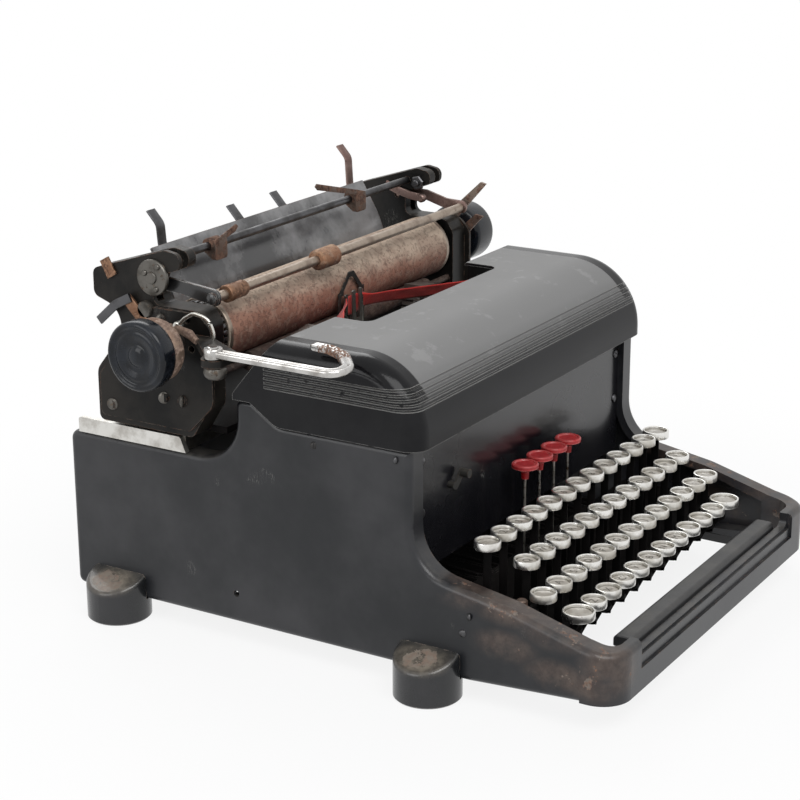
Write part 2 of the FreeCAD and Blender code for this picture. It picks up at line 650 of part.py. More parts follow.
def shift_tie():
    """The rod that joins the two shift levers, and the two lugs that it is riveted to."""
    left = key_place("lower", 0)[0] + LEVER_THICKNESS / 2
    right = key_place("lower", 11)[0] - LEVER_THICKNESS / 2
    front = KEY_ROWS["lower"][0] + LOWER_STEM_LEAN - STEM_DEPTH / 2
    y0, y1 = SHIFT_TIE_Y - 3, SHIFT_TIE_Y + 3
    lug = [(y0, LEVER_FOOT_Z + 3, 0), (y1, LEVER_FOOT_Z + 3, 0), (y1, SHIFT_TIE_Z + 3, 2), (y0, SHIFT_TIE_Z + 3, 2)]
    assert lever_height(y0, front) > LEVER_FOOT_Z + 3
    return [plate_x(lug, left, left + 0.8), plate_x(lug, right - 0.8, right),
            bar_x(SHIFT_TIE_Y, SHIFT_TIE_Z, 1.5, left + 0.8, right - 0.8)]


def key_comb():
    """The slotted plate that guides the key stems, with a round tooth on each side of a front stem."""
    z0, z1 = COMB_Z, COMB_Z + COMB_THICKNESS
    front = KEY_ROWS["lower"][0] + LOWER_STEM_LEAN + STEM_DEPTH / 2
    plate = box(-HALF_POCKET, HALF_POCKET, front, COMB_REAR_Y, z0, z1)
    teeth = [bar_z(key_place("lower", i - 0.5)[0], front, COMB_TOOTH_RADIUS, z0, z1)
             for i in range(LOWER_ROW_COUNT + 1)]
    plate = plate.fuse(teeth)
    cuts = []
    for row, count in KEY_ROW_COUNTS.items():
        for i in range(count):
            x, y, _ = key_place(row, i)
            y += key_lean(row)
            reach = STEM_DEPTH / 2 + 1 + (3 * COMB_TOOTH_RADIUS if row == "lower" else 0)
            cuts.append(box(x - 0.8, x + 0.8, y - reach, y + STEM_DEPTH / 2 + 1, z0 - 1, z1 + 1))
    for i in range(TAB_KEY_COUNT):
        cuts.append(bar_z(TAB_KEY_FIRST_X + i * KEY_PITCH, TAB_KEY_Y, TAB_STEM_RADIUS + RUNNING_FIT,
                          z0 - 1, z1 + 1))
    return plate.cut(cuts).removeSplitter()


def tab_key(index):
    """A red funnel cap on a wire stem."""
    x = TAB_KEY_FIRST_X + index * KEY_PITCH
    cap = turned([(0, -10), (2.2, -10), (2.6, -5.5), (6.2, -3.2), (TAB_CAP_RADIUS, -2.6),
                  (TAB_CAP_RADIUS, -0.6), (TAB_CAP_RADIUS - 0.6, 0), (6.4, 0), (5.8, -0.7), (0, -0.7)],
                 Vector(x, TAB_KEY_Y, TAB_KEY_Z), (0, 0, 1))
    stem = bar_z(x, TAB_KEY_Y, TAB_STEM_RADIUS, LEVER_TOP_Z - 8, TAB_KEY_Z - 10)
    return Part.makeCompound([cap, stem])


def space_bar():
    y0 = SPACE_BAR_FRONT
    y1 = y0 + SPACE_BAR_DEPTH
    z1 = SPACE_BAR_TOP_Z
    z0 = z1 - SPACE_BAR_HEIGHT
    bar = plate_x([(y0, z0, 1), (y0, z1, 3), (y1, z1, 3), (y1, z0, 1)], -SPACE_BAR_HALF, SPACE_BAR_HALF)
    ends = [edge for edge in bar.Edges if at_x(edge, SPACE_BAR_HALF) or at_x(edge, -SPACE_BAR_HALF)]
    bar = bar.makeFillet(0.9, ends)
    front = y0 + 3
    solids = [bar]
    for side in (-1, 1):
        x = side * SPACE_ARM_X
        rise = [(front, LEVER_TOP_Z, 0), (front + 7, lever_height(front + 7, front), 0), (front + 7, z0, 0),
                (front, z0, 0)]
        solids += [lever_bar(x, front, 1.2), plate_x(rise, x - 0.6, x + 0.6)]
    return Part.makeCompound(solids)


# ---- type basket -------------------------------------------------------------------------
def typebar_angle(index):
    """Degrees from straight down, about the printing point, seen from the front."""
    return -TYPEBAR_SPREAD / 2 + index * TYPEBAR_SPREAD / (TYPEBAR_COUNT - 1)


def spun(shape, degrees):
    """Turned about the printing axis, which runs along Y through the platen's height."""
    copy = shape.copy()
    copy.rotate(Vector(0, 0, PLATEN_Z), Vector(0, 1, 0), -degrees)
    return copy


def typebar_flat():
    """The lowest typebar at rest: eye at its pivot, bar towards the typist, slug turned up."""
    z = PLATEN_Z - TYPEBAR_LENGTH
    half = TYPEBAR_WIDTH / 2
    reach = SLUG_GAP + PIVOT_Y
    slug_top = z + PLATEN_Y - PLATEN_RADIUS - reach
    tip = PIVOT_Y - TYPEBAR_LENGTH - SLUG_HEIGHT / 2
    eye = bar_x(PIVOT_Y, z, TYPEBAR_EYE, -LEVER_THICKNESS / 2, LEVER_THICKNESS / 2)
    bar = plate_x([(PIVOT_Y, z - half, 0), (PIVOT_Y, z + half, 0), (tip + 8, z + half, 3),
                   (tip + 1, z + half + 2, 0), (tip + 1, z - 0.4, 0), (tip + 12, z - half, 8)],
                  -LEVER_THICKNESS / 2, LEVER_THICKNESS / 2)
    slug = plate_x([(tip, z + 1.0, 0), (tip, slug_top, 0), (tip + SLUG_HEIGHT, slug_top, 0),
                    (tip + SLUG_HEIGHT, z + 1.6, 1.5)], -SLUG_WIDTH / 2, SLUG_WIDTH / 2)
    return fuse(eye, bar, slug)


STRIKE_TYPEBAR = TYPEBAR_COUNT // 2


def typebars():
    flat = typebar_flat()
    return Part.makeCompound([
        spun(flat, typebar_angle(i)) for i in range(TYPEBAR_COUNT) if i != STRIKE_TYPEBAR])


def arc_band(inner, outer, half_angle, y0, y1):
    """Part of a ring about the printing axis, centred straight down."""
    centre = Vector(0, y0, PLATEN_Z)
    length = y1 - y0
    ring = Part.makeCylinder(outer, length, centre, Vector(0, 1, 0))
    ring = ring.cut(Part.makeCylinder(inner, length, centre, Vector(0, 1, 0)))
    side = math.radians(half_angle)
    far = outer * 1.6
    left = (-far * math.sin(side), PLATEN_Z - far * math.cos(side), 0)
    right = (far * math.sin(side), PLATEN_Z - far * math.cos(side), 0)
    wedge = plate_y([(0, PLATEN_Z, 0), left, (-far, PLATEN_Z - far * 1.2, 0), (far, PLATEN_Z - far * 1.2, 0),
                     right], y0, y1)
    return ring.common(wedge)


def type_segment():
    """The slotted arc that the typebars hinge in, with a sliding lug at each end."""
    segment = arc_band(SEGMENT_INNER, SEGMENT_OUTER, SEGMENT_HALF_ANGLE, SEGMENT_FRONT_Y, SEGMENT_REAR_Y)
    middle = (SEGMENT_FRONT_Y + SEGMENT_REAR_Y) / 2
    lug_z = PLATEN_Z - 38
    for side in (-1, 1):
        x0, x1 = sorted((side * TYPEBAR_LENGTH, side * (POST_X + 6)))
        lug = box(x0, x1, middle - 5, middle + 5, lug_z - 8, lug_z + 8)
        lug = lug.cut(bar_y(0, PLATEN_Z, SEGMENT_OUTER - 2, middle - 6, middle + 6))
        segment = segment.fuse(lug)
    segment = segment.removeSplitter()
    half = LEVER_THICKNESS / 2 + SLOT_CLEARANCE
    slot = box(-half, half, SEGMENT_FRONT_Y - 1, SEGMENT_REAR_Y + 1, PLATEN_Z - SLOT_RADIUS,
               PLATEN_Z - SEGMENT_INNER + 2)
    cuts = [spun(slot, typebar_angle(i)) for i in range(TYPEBAR_COUNT)]
    cuts += [bar_z(side * POST_X, middle, POST_RADIUS + RUNNING_FIT, lug_z - 9, lug_z + 9)
             for side in (-1, 1)]
    return segment.cut(cuts)


def type_rest():
    """The crescent that the typebars lie on, held off the segment by three stays."""
    inner = TYPEBAR_LENGTH + TYPEBAR_WIDTH / 2 + 0.3
    rest = arc_band(inner, inner + 5, 79, -2, 6)
    for degrees in (-60, 0, 60):
        stay = spun(bar_y(0, PLATEN_Z - inner - 3, 1.6, 5, SEGMENT_FRONT_Y), degrees)
        rest = rest.fuse(stay)
    return rest.removeSplitter()


def type_guide():
    """The plate behind the segment whose two prongs steer each rising typebar."""
    y0 = SEGMENT_REAR_Y
    low, high = PLATEN_Z - SEGMENT_OUTER + 3, PLATEN_Z + 1
    return plate_y([(-4, low, 1), (4, low, 1), (5.5, high, 1), (2.4, high, 0), (2.0, high - 19, 0),
                    (-2.0, high - 19, 0), (-2.4, high, 0), (-5.5, high, 1)], y0, y0 + 1.2)


def card_holder():
    """An open A of thin plate that keeps the paper against the platen."""
    y0 = RIBBON_Y + 0.8
    z = PLATEN_Z
    legs = plate_y([(-15, z - 2, 1), (15, z - 2, 1), (3, z + 12, 1.5), (-3, z + 12, 1.5)], y0, y0 + 0.7)
    window = plate_y([(-9, z - 4, 0), (9, z - 4, 0), (9, z + 0.5, 0), (2, z + 8.5, 0.5), (-2, z + 8.5, 0.5),
                      (-9, z + 0.5, 0)], y0 - 1, y0 + 2)
    legs = legs.cut(window)
    feet = [plate_y([(side * 12, z - 2.2, 0), (side * 15, z - 2.2, 0), (side * 15, z + 0.2, 0),
                     (side * 12.5, z + 0.2, 0)], y0, y0 + 0.7) for side in (-1, 1)]
    stalks = [plate_y([(side * 12, CROSS_BAR_Z, 0), (side * 15, CROSS_BAR_Z, 0), (side * 15, z - 1, 0),
                       (side * 12, z - 1, 0)], y0, y0 + 0.7) for side in (-1, 1)]
    tabs = [box(*sorted((side * 12, side * 15)), cross_bar_y() + 9, y0 + 0.7, CROSS_BAR_Z, CROSS_BAR_Z + 5)
            for side in (-1, 1)]
    return fuse(legs, *tabs, *feet, *stalks)


def ribbon_vibrator():
    """The fork that lifts the ribbon to the printing point, sliding on the cross bar."""
    y0 = cross_bar_y() + 9
    low = CROSS_BAR_Z - 5
    sill = RIBBON_Z - 7
    crown = RIBBON_Z + RIBBON_WIDTH + 2
    gap, outer = FORK_GAP, FORK_GAP + 3
    outline = [(-4, low, 1), (4, low, 1), (4, sill - 10, 4), (outer, sill - 4, 2), (outer, crown, 1),
               (gap, crown, 1), (gap, sill, 1), (-gap, sill, 1), (-gap, crown, 1), (-outer, crown, 1),
               (-outer, sill - 4, 2), (-4, sill - 10, 4)]
    return plate_y(outline, y0, y0 + VIBRATOR_THICKNESS)


def spool_bracket():
    """A shelf on the side frame's shoulder with the spool's spindle."""
    outer = COVER_FLANGE_X - 0.5
    inner = SPOOL_X - 24
    shelf = plate_z([(inner, SPOOL_Y - 16, 6), (outer, SPOOL_Y - 16, 0), (outer, SPOOL_Y + 16, 0),
                     (inner, SPOOL_Y + 16, 6)], SHOULDER_Z, SHOULDER_Z + 2)
    seat = RIBBON_Z - SPOOL_FLANGE - 1.3 - SHOULDER_Z - 0.3
    tip = COVER_TOP_Z - COVER_WALL - SHOULDER_Z - 2.5
    post = turned([(0, 0), (5, 0), (5, seat), (SPINDLE_RADIUS, seat), (SPINDLE_RADIUS, tip), (0, tip)],
                  Vector(SPOOL_X, SPOOL_Y, SHOULDER_Z), (0, 0, 1))
    right = fuse(shelf, post)
    return Part.makeCompound([right, mirror_x(right)])


def ribbon_spool(side):
    """A flanged spool, half full of ribbon."""
    z0 = RIBBON_Z - SPOOL_FLANGE - 1.3
    height = RIBBON_WIDTH + 2.6
    bore = SPINDLE_RADIUS + RUNNING_FIT
    wound = SPOOL_RADIUS * (0.85 if side > 0 else 0.55)
    flange = SPOOL_FLANGE
    spool = turned([(bore, 0), (SPOOL_RADIUS, 0), (SPOOL_RADIUS, flange), (SPOOL_HUB, flange),
                    (SPOOL_HUB, flange + height), (SPOOL_RADIUS, flange + height),
                    (SPOOL_RADIUS, 2 * flange + height), (bore, 2 * flange + height)],
                   Vector(side * SPOOL_X, SPOOL_Y, z0), (0, 0, 1))
    winding = turned([(SPOOL_HUB, flange), (wound, flange), (wound, flange + height), (SPOOL_HUB, flange + height)],
                     Vector(side * SPOOL_X, SPOOL_Y, z0), (0, 0, 1))
    return Part.makeCompound([spool, winding])


def ribbon():
    """The ribbon between the spools, past the fork."""
    t = RIBBON_THICKNESS
    wound = SPOOL_RADIUS * 0.85 + 0.4
    centre_line = [(SPOOL_X - 14, SPOOL_Y + wound - 3.4), (30, RIBBON_Y - 10), (11, RIBBON_Y),
                   (-11, RIBBON_Y), (-30, RIBBON_Y - 10), (-SPOOL_X + 14, SPOOL_Y + wound - 3.4)]
    front = [(x, y, 0) for x, y in centre_line]
    back = [(x, y + t, 0) for x, y in reversed(centre_line)]
    return plate_z(front + back, RIBBON_Z, RIBBON_Z + RIBBON_WIDTH)


# ---- carriage ----------------------------------------------------------------------------
def carriage_bed():
    bed = box(-CARRIAGE_HALF, CARRIAGE_HALF, BED_FRONT_Y, BED_REAR_Y, BED_Z, BED_Z + BED_THICKNESS)
    foot = TRIM_TOP_Z + RAIL_GAP
    runners = [box(-CARRIAGE_HALF, CARRIAGE_HALF, y - 5, y + 5, foot, BED_Z) for y in RAIL_YS]
    apron = box(-CARRIAGE_HALF, CARRIAGE_HALF, BED_REAR_Y - 3, BED_REAR_Y, BED_Z + BED_THICKNESS,
                BED_Z + 26)
    return fuse(bed, apron, *runners)


END_BODY = [
    (BED_REAR_Y, BED_Z, 4), (BED_REAR_Y, 160, 10), (129, 196, 14), (BED_REAR_Y, 206, 5), (BED_REAR_Y, 222, 5),
    (104, 239, 7), (93, 237, 5), (94, 228.5, 4), (113.5, 222, 5), (113.5, 205.5, 5), (81, 205.5, 7),
    (END_FRONT_Y + 4, 197, 7), (END_FRONT_Y + 4, 148, 10), (88, BED_Z, 5),
]
END_POCKET = [
    (BED_REAR_Y - 5, BED_Z + 5, 4), (BED_REAR_Y - 5, 156, 6), (124, 191, 8), (112, 201, 5), (85, 201, 5),
    (END_FRONT_Y + 9, 194, 5), (END_FRONT_Y + 9, 151, 6), (91, BED_Z + 5, 4),
]
END_COVER = [
    (BED_REAR_Y - 3, BED_Z + 4, 4), (BED_REAR_Y - 3, 158, 8), (127, 192, 10), (113, 204.5, 6), (80, 204.5, 8),
    (END_FRONT_Y, 196, 8), (END_FRONT_Y, 150, 10), (88.8, BED_Z + 4, 5),
]
BAIL_SLOT = (7.0, 13.0)       # depths of the slot in a carriage end that the bail arm swings in
END_SCREWS = ((106.4, 150.3), (93.3, 150.2), (146, 140), (107, 198))


def end_solids():
    """The right carriage end: casting, outer plate, and the plate's screws."""
    x0 = CARRIAGE_HALF
    x1 = x0 + END_THICKNESS
    x2 = x1 + END_PLATE
    casting = plate_x(END_BODY, x0, x1)
    casting = casting.cut(plate_x(END_POCKET, x0 + 4, x1 + 1))
    bosses = [bar_x(PLATEN_Y, PLATEN_Z, 9, x0 + 3, x1)]
    bosses += [bar_x(y, z, 4, x0 + 3, x1) for y, z in END_SCREWS]
    casting = casting.fuse(bosses).common(plate_x(END_BODY, x0, x1)).removeSplitter()
    casting = casting.cut(box(x0 + BAIL_SLOT[0], x0 + BAIL_SLOT[1], END_FRONT_Y, BAIL_PIVOT_Y + 7, 207, 246))
    plate = plate_x(END_COVER, x1, x2)
    screws = [screw(Vector(x2, y, z), (1, 0, 0), 3.2) for y, z in END_SCREWS]
    shaft = bar_x(PLATEN_Y, PLATEN_Z, PLATEN_SHAFT_RADIUS + RUNNING_FIT, x0 - 1, x2 + 1)
    casting = casting.cut(screws + [
        shaft,
        bar_x(MARGIN_ROD_Y, MARGIN_ROD_Z, MARGIN_ROD_RADIUS, x0 - 1, x0 + 4),
        bar_x(BAIL_PIVOT_Y, BAIL_PIVOT_Z, 2 + RUNNING_FIT, x0 - 1, x0 + 8),
        bar_x(feed_roller_centre()[0], feed_roller_centre()[1], 2.2 + RUNNING_FIT, x0 - 1, x0 + 4),
    ])
    pivots = [bar_x(y, z, 2 + RUNNING_FIT, x1 - 3, x2 + 1) for y, z in RELEASE_PIVOTS]
    return casting.cut(pivots), plate.cut(screws + [shaft] + pivots), screws


def carriage_end_right():
    casting, plate, screws = end_solids()
    return Part.makeCompound([casting, plate] + screws)


def carriage_end_left():
    """The mirror of the right end, its plate drawn out into the return lever's bracket."""
    casting, plate, screws = [mirror_x(shape) if not isinstance(shape, list) else [mirror_x(s) for s in shape]
                              for shape in end_solids()]
    z1 = RETURN_LEVER_Z - RAIL_GAP
    outer = -CARRIAGE_HALF - END_THICKNESS
    x, y = LEVER_PIVOT_X, LEVER_PIVOT_Y
    arm = plate_z([(outer, 86, 0), (outer, END_FRONT_Y + 2, 0), (x + 16, y - 6, 8), (x - 5.5, y - 6, 5.5),
                   (x - 5.5, y + 6, 5.5), (x + 4, y + 9, 8)], z1 - 4.4, z1)
    pin = bar_z(x, y, 2.5, z1, RETURN_LEVER_Z + RETURN_LEVER_HEIGHT + 1.5)
    return Part.makeCompound([casting, fuse(plate, arm, pin)] + screws)


def platen():
    """The rubber sleeve."""
    sleeve = bar_x(PLATEN_Y, PLATEN_Z, PLATEN_RADIUS, -PLATEN_HALF, PLATEN_HALF)
    return sleeve.cut(bar_x(PLATEN_Y, PLATEN_Z, PLATEN_RADIUS - 4, -PLATEN_HALF - 1, PLATEN_HALF + 1))


def platen_core():
    """The tube and through shaft inside the sleeve, and the line-space ratchet wheel."""
    core = bar_x(PLATEN_Y, PLATEN_Z, PLATEN_RADIUS - 4, -PLATEN_HALF, PLATEN_HALF)
    reach = KNOB_FACE_X - KNOB_WIDTH + 8
    shaft = bar_x(PLATEN_Y, PLATEN_Z, PLATEN_SHAFT_RADIUS, -reach, reach)
    return Part.makeCompound([fuse(core, shaft), line_ratchet()])


def line_ratchet():
    """The toothed wheel on the platen's left end."""
    x0 = -PLATEN_HALF - 3.5
    points = []
    for i in range(RATCHET_TEETH):
        start = 2 * math.pi * i / RATCHET_TEETH
        steep = start + 0.25 * 2 * math.pi / RATCHET_TEETH
        points.append((PLATEN_Y + RATCHET_RADIUS * math.cos(start), PLATEN_Z + RATCHET_RADIUS * math.sin(start), 0))
        points.append((PLATEN_Y + (RATCHET_RADIUS - 1.6) * math.cos(steep),
                       PLATEN_Z + (RATCHET_RADIUS - 1.6) * math.sin(steep), 0))
    wheel = plate_x(points, x0, x0 + 2.5)
    return wheel.cut(bar_x(PLATEN_Y, PLATEN_Z, PLATEN_SHAFT_RADIUS, x0 - 1, x0 + 4))


def platen_knobs():
    face = KNOB_FACE_X
    depth = KNOB_WIDTH
    knob = turned([(PLATEN_SHAFT_RADIUS, 0), (9, 0), (10, 3), (KNOB_RADIUS - 2, 5), (KNOB_RADIUS, 7),
                   (KNOB_RADIUS, depth - 2.5), (KNOB_RADIUS - 2.5, depth), (KNOB_RADIUS - 5, depth),
                   (KNOB_RADIUS - 7, depth - 2.5), (8, depth - 2.5), (6, depth - 1.2), (0, depth - 1.0), (0, 8.4),
                   (PLATEN_SHAFT_RADIUS, 8.4)],
                  Vector(face - depth, PLATEN_Y, PLATEN_Z), (1, 0, 0))
    return Part.makeCompound([knob, mirror_x(knob)])


def feed_roller_centre():
    reach = PLATEN_RADIUS + FEED_RADIUS + RAIL_GAP
    angle = math.radians(-125)
    return PLATEN_Y + reach * math.cos(angle), PLATEN_Z + reach * math.sin(angle)


def feed_roller():
    """The roller that presses the paper to the platen from below, its shaft in both ends."""
    y, z = feed_roller_centre()
    half = CARRIAGE_HALF - 30
    roller = bar_x(y, z, FEED_RADIUS, -half, half)
    shaft = bar_x(y, z, 2.2, -CARRIAGE_HALF - 3.5, CARRIAGE_HALF + 3.5)
    return fuse(roller, shaft)


def strap(line, width, z0, z1):
    """A flat strip of one width along a bent centre line, given as (x, y, radius) of each corner."""
    half = width / 2
    left, right = [], []
    for i, (x, y, radius) in enumerate(line):
        here = Vector(x, y, 0)
        ends = [Vector(*line[k][:2], 0) for k in (i - 1, i + 1) if 0 <= k < len(line)]
        ways = [(here - ends[0]) if i else (ends[0] - here), (ends[-1] - here) if i < len(line) - 1 else
                (here - ends[0])]
        first, last = [way.normalize() for way in ways]
        middle = (first + last).normalize()
        normal = Vector(-middle.y, middle.x, 0)
        reach = half / (normal * Vector(-first.y, first.x, 0))
        bend = half if first.x * last.y - first.y * last.x > 0 else -half
        left.append((x + normal.x * reach, y + normal.y * reach, radius and radius - bend))
        right.append((x - normal.x * reach, y - normal.y * reach, radius and radius + bend))
    return plate_z(left + right[::-1], z0, z1)


def return_lever():
    """A chrome bar from its pivot towards the typist, curled into a hook."""
    z0 = RETURN_LEVER_Z
    z1 = z0 + RETURN_LEVER_HEIGHT
    x, y = LEVER_PIVOT_X, LEVER_PIVOT_Y
    line = [(x, y, 0)] + [(x + across, along, radius) for across, along, radius in LEVER_BENDS]
    bar = strap(line, RETURN_LEVER_WIDTH, z0 + 1, z1 - 1)
    tip = bar_z(line[-1][0], line[-1][1], RETURN_LEVER_WIDTH / 2, z0 + 1, z1 - 1)
    lever = fuse(bar, tip, bar_z(x, y, LEVER_EYE_RADIUS, z0, z1))
    return lever.cut(bar_z(x, y, 2.5 + RUNNING_FIT, z0 - 1, z1 + 1))


def paper_bail():
    """A rod across the platen on two arms that swing on pins in the end castings."""
    rod = bar_x(BAIL_ROD_Y, BAIL_ROD_Z, BAIL_ROD_RADIUS, -BAIL_ARM_X + 1, BAIL_ARM_X - 1)
    arms = []
    for side in (-1, 1):
        x = side * BAIL_ARM_X
        arm = plate_x([(BAIL_PIVOT_Y + 4.5, BAIL_PIVOT_Z - 4.5, 4), (BAIL_PIVOT_Y + 4.5, BAIL_PIVOT_Z + 4.5, 4),
                       (98, BAIL_PIVOT_Z + 2, 12), (BAIL_ROD_Y - 5, BAIL_ROD_Z + 5, 4.5),
                       (BAIL_ROD_Y - 5, BAIL_ROD_Z - 5, 4.5), (98, BAIL_PIVOT_Z - 6, 12)], x - 1, x + 1)
        pin_reach = sorted((side * (BAIL_ARM_X + 1), side * (CARRIAGE_HALF + 0.5)))
        arms += [arm, bar_x(BAIL_PIVOT_Y, BAIL_PIVOT_Z, 2, *pin_reach)]
    return fuse(rod, *arms)


def bail_roller():
    x0 = BAIL_ROLLER_X - BAIL_ROLLER_LENGTH / 2
    x1 = BAIL_ROLLER_X + BAIL_ROLLER_LENGTH / 2
    roller = bar_x(BAIL_ROD_Y, BAIL_ROD_Z, BAIL_ROLLER_RADIUS, x0, x1)
    roller = roller.makeChamfer(1.2, [edge for edge in roller.Edges if edge.BoundBox.XLength < 0.01])
    return roller.cut(bar_x(BAIL_ROD_Y, BAIL_ROD_Z, BAIL_ROD_RADIUS + RUNNING_FIT, x0 - 1, x1 + 1))


def paper_table():
    """The curved sheet behind the platen that the paper leans on."""
    half = CARRIAGE_HALF - 16
    sheet = [
        (108, 163, 0), (119, 163, 8), (*TABLE_BEND, 60), (*TABLE_TOP, 0),
        (TABLE_TOP[0] - 1.4, TABLE_TOP[1] + 1, 0), (TABLE_BEND[0] - 1.8, TABLE_BEND[1] + 0.6, 60),
        (117.2, 164.8, 6.2), (108, 164.8, 0),
    ]
    table = plate_x(sheet, -CARRIAGE_HALF, CARRIAGE_HALF)
    notches = []
    for side in (-1, 1):
        x0, x1 = sorted((side * half, side * (CARRIAGE_HALF + 1)))
        notches += [box(x0, x1, 105, 150, 150, 176), box(x0, x1, 105, 150, 188, 240)]
    return table.cut(notches)


def paper_fingers():
    """Four curved fingers that stand up behind the paper table to hold the sheet."""
    along = Vector(TABLE_TOP[0] - TABLE_BEND[0], TABLE_TOP[1] - TABLE_BEND[1], 0)
    length = along.Length
    along.normalize()
    out = Vector(along.y, -along.x, 0)
    bend = Vector(*TABLE_BEND, 0)
    foot, edge = bend + along * 17, bend + along * length
    fingers = []
    for x, top in FINGERS:
        rise = Vector(edge.x + 1, top - 8, 0)
        tip = Vector(edge.x + 9, top, 0)
        inner = [foot, edge, rise, tip]
        outer = [tip + Vector(0.9, -1.1, 0), rise + Vector(1.4, -0.8, 0), edge + out * 1.4, foot + out * 1.4]
        radii = [0, 0, 7, 0, 0, 6, 0, 0]
        outline = [(p.x, p.y, r) for p, r in zip(inner + outer, radii)]
        fingers.append(plate_x(outline, x - 4, x + 4))
    return Part.makeCompound(fingers)


def margin_rod():
    return bar_x(MARGIN_ROD_Y, MARGIN_ROD_Z, MARGIN_ROD_RADIUS, -CARRIAGE_HALF - 4, CARRIAGE_HALF + 4)


def margin_stop(side):
    """A block on the margin rod, with a finger tab that leans towards the middle."""
    x = MARGIN_STOP_XS[0] if side < 0 else MARGIN_STOP_XS[1]
    lean = -side
    block = plate_x([(MARGIN_ROD_Y - 6, MARGIN_ROD_Z - 9, 2), (MARGIN_ROD_Y + 5, MARGIN_ROD_Z - 6, 2),
                     (MARGIN_ROD_Y + 5, MARGIN_ROD_Z + 6, 2), (MARGIN_ROD_Y - 6, MARGIN_ROD_Z + 5, 2)],
                    x - 7, x + 7)
    tab = plate_y([(x + lean * 5, MARGIN_ROD_Z + 4, 0), (x - lean * 5, MARGIN_ROD_Z + 4, 0),
                   (x + lean * 50, MARGIN_ROD_Z + 17, 2), (x + lean * 54, MARGIN_ROD_Z + 12, 1)],
                  MARGIN_ROD_Y - 5, MARGIN_ROD_Y - 3.6)
    stop = fuse(block, tab)
    return stop.cut(bar_x(MARGIN_ROD_Y, MARGIN_ROD_Z, MARGIN_ROD_RADIUS + RUNNING_FIT, x - 60, x + 60))


def end_lever(pivot, tip, width):
    """A small curved finger lever on a pin, on the outside of the right end plate."""
    x0 = CARRIAGE_HALF + END_THICKNESS + END_PLATE
    y, z = pivot
    outline = [(y - 4, z - 4, 3.5), (y + 4, z - 4, 3.5), (y + 4, z + 4, 3.5), (tip[0] + width, tip[1] + 1, 0),
               (tip[0], tip[1], 0), (y - 6, z + 4, 6)]
    return fuse(plate_x(outline, x0, x0 + 2.4), bar_x(y, z, 2, x0 - END_PLATE, x0))


def rack_pitch_z():
    """Height of the rack's pitch line: its teeth clear the rails."""
    return TRIM_TOP_Z + RAIL_GAP + GEAR_MODULE + 0.2


def escapement_z():
    return rack_pitch_z() - GEAR_MODULE * PINION_TEETH / 2


def escapement_rack():
    """The toothed bar behind the carriage bed that turns the escapement pinion."""
    pitch = math.pi * GEAR_MODULE
    pitch_z = rack_pitch_z()
    tan20 = math.tan(math.radians(20))
    y0 = RACK_Y - RACK_WIDTH / 2
    add = GEAR_MODULE
    ded = 1.25 * GEAR_MODULE
    half_tooth = pitch / 4 - GEAR_BACKLASH / 2
    count = int(RACK_HALF / pitch) - 1
    top = BED_Z + BED_THICKNESS + 6
    points = [(-RACK_HALF, top, 0), (-RACK_HALF, pitch_z + ded, 0)]
    for i in range(-count, count + 1):
        x = i * pitch
        points += [(x - half_tooth - ded * tan20, pitch_z + ded, 0), (x - half_tooth + add * tan20, pitch_z - add, 0),
                   (x + half_tooth - add * tan20, pitch_z - add, 0), (x + half_tooth + ded * tan20, pitch_z + ded, 0)]
    points += [(RACK_HALF, pitch_z + ded, 0), (RACK_HALF, top, 0)]
    return plate_y(points, y0, y0 + RACK_WIDTH)


def involute(base, radius):
    """Angle of the involute of a base circle at a radius."""
    ratio = math.sqrt(max((radius / base) ** 2 - 1, 0))
    return ratio - math.atan(ratio)


def escapement_wheel():
    """The pinion and its star wheel on one arbor that runs in the rear panel."""
    pitch_radius = GEAR_MODULE * PINION_TEETH / 2
    centre_z = escapement_z()
    base = pitch_radius * math.cos(math.radians(20))
    root = pitch_radius - 1.25 * GEAR_MODULE
    tip = pitch_radius + GEAR_MODULE
    half_at_pitch = math.pi / (2 * PINION_TEETH) - GEAR_BACKLASH / 2 / pitch_radius
    offset = half_at_pitch + involute(base, pitch_radius)
    points = []
    for i in range(PINION_TEETH):
        # a tooth space stands straight up, to take the rack's middle tooth
        middle = math.pi / 2 + 2 * math.pi * (i + 0.5) / PINION_TEETH
        flank = [(root, offset - involute(base, base)), (pitch_radius, half_at_pitch),
                 ((pitch_radius + tip) / 2, offset - involute(base, (pitch_radius + tip) / 2)),
                 (tip, offset - involute(base, tip))]
        for r, a in flank:
            points.append((r * math.cos(middle - a), centre_z + r * math.sin(middle - a), 0))
        for r, a in reversed(flank):
            points.append((r * math.cos(middle + a), centre_z + r * math.sin(middle + a), 0))
    y0 = RACK_Y - RACK_WIDTH / 2
    pinion = plate_y(points, y0, y0 + RACK_WIDTH)
    star = []
    for i in range(24):
        a = 2 * math.pi * i / 24
        b = a + 2 * math.pi * 0.2 / 24
        star.append((17 * math.cos(a), centre_z + 17 * math.sin(a), 0))
        star.append((14 * math.cos(b), centre_z + 14 * math.sin(b), 0))
    star = [(x, z, r) for x, z, r in star]
    wheel = plate_y(star, y0 + RACK_WIDTH + 4, y0 + RACK_WIDTH + 5.5)
    arbor = bar_y(0, centre_z, ARBOR_RADIUS, y0 - 3, REAR_PANEL_Y)
    return fuse(pinion, wheel, arbor)


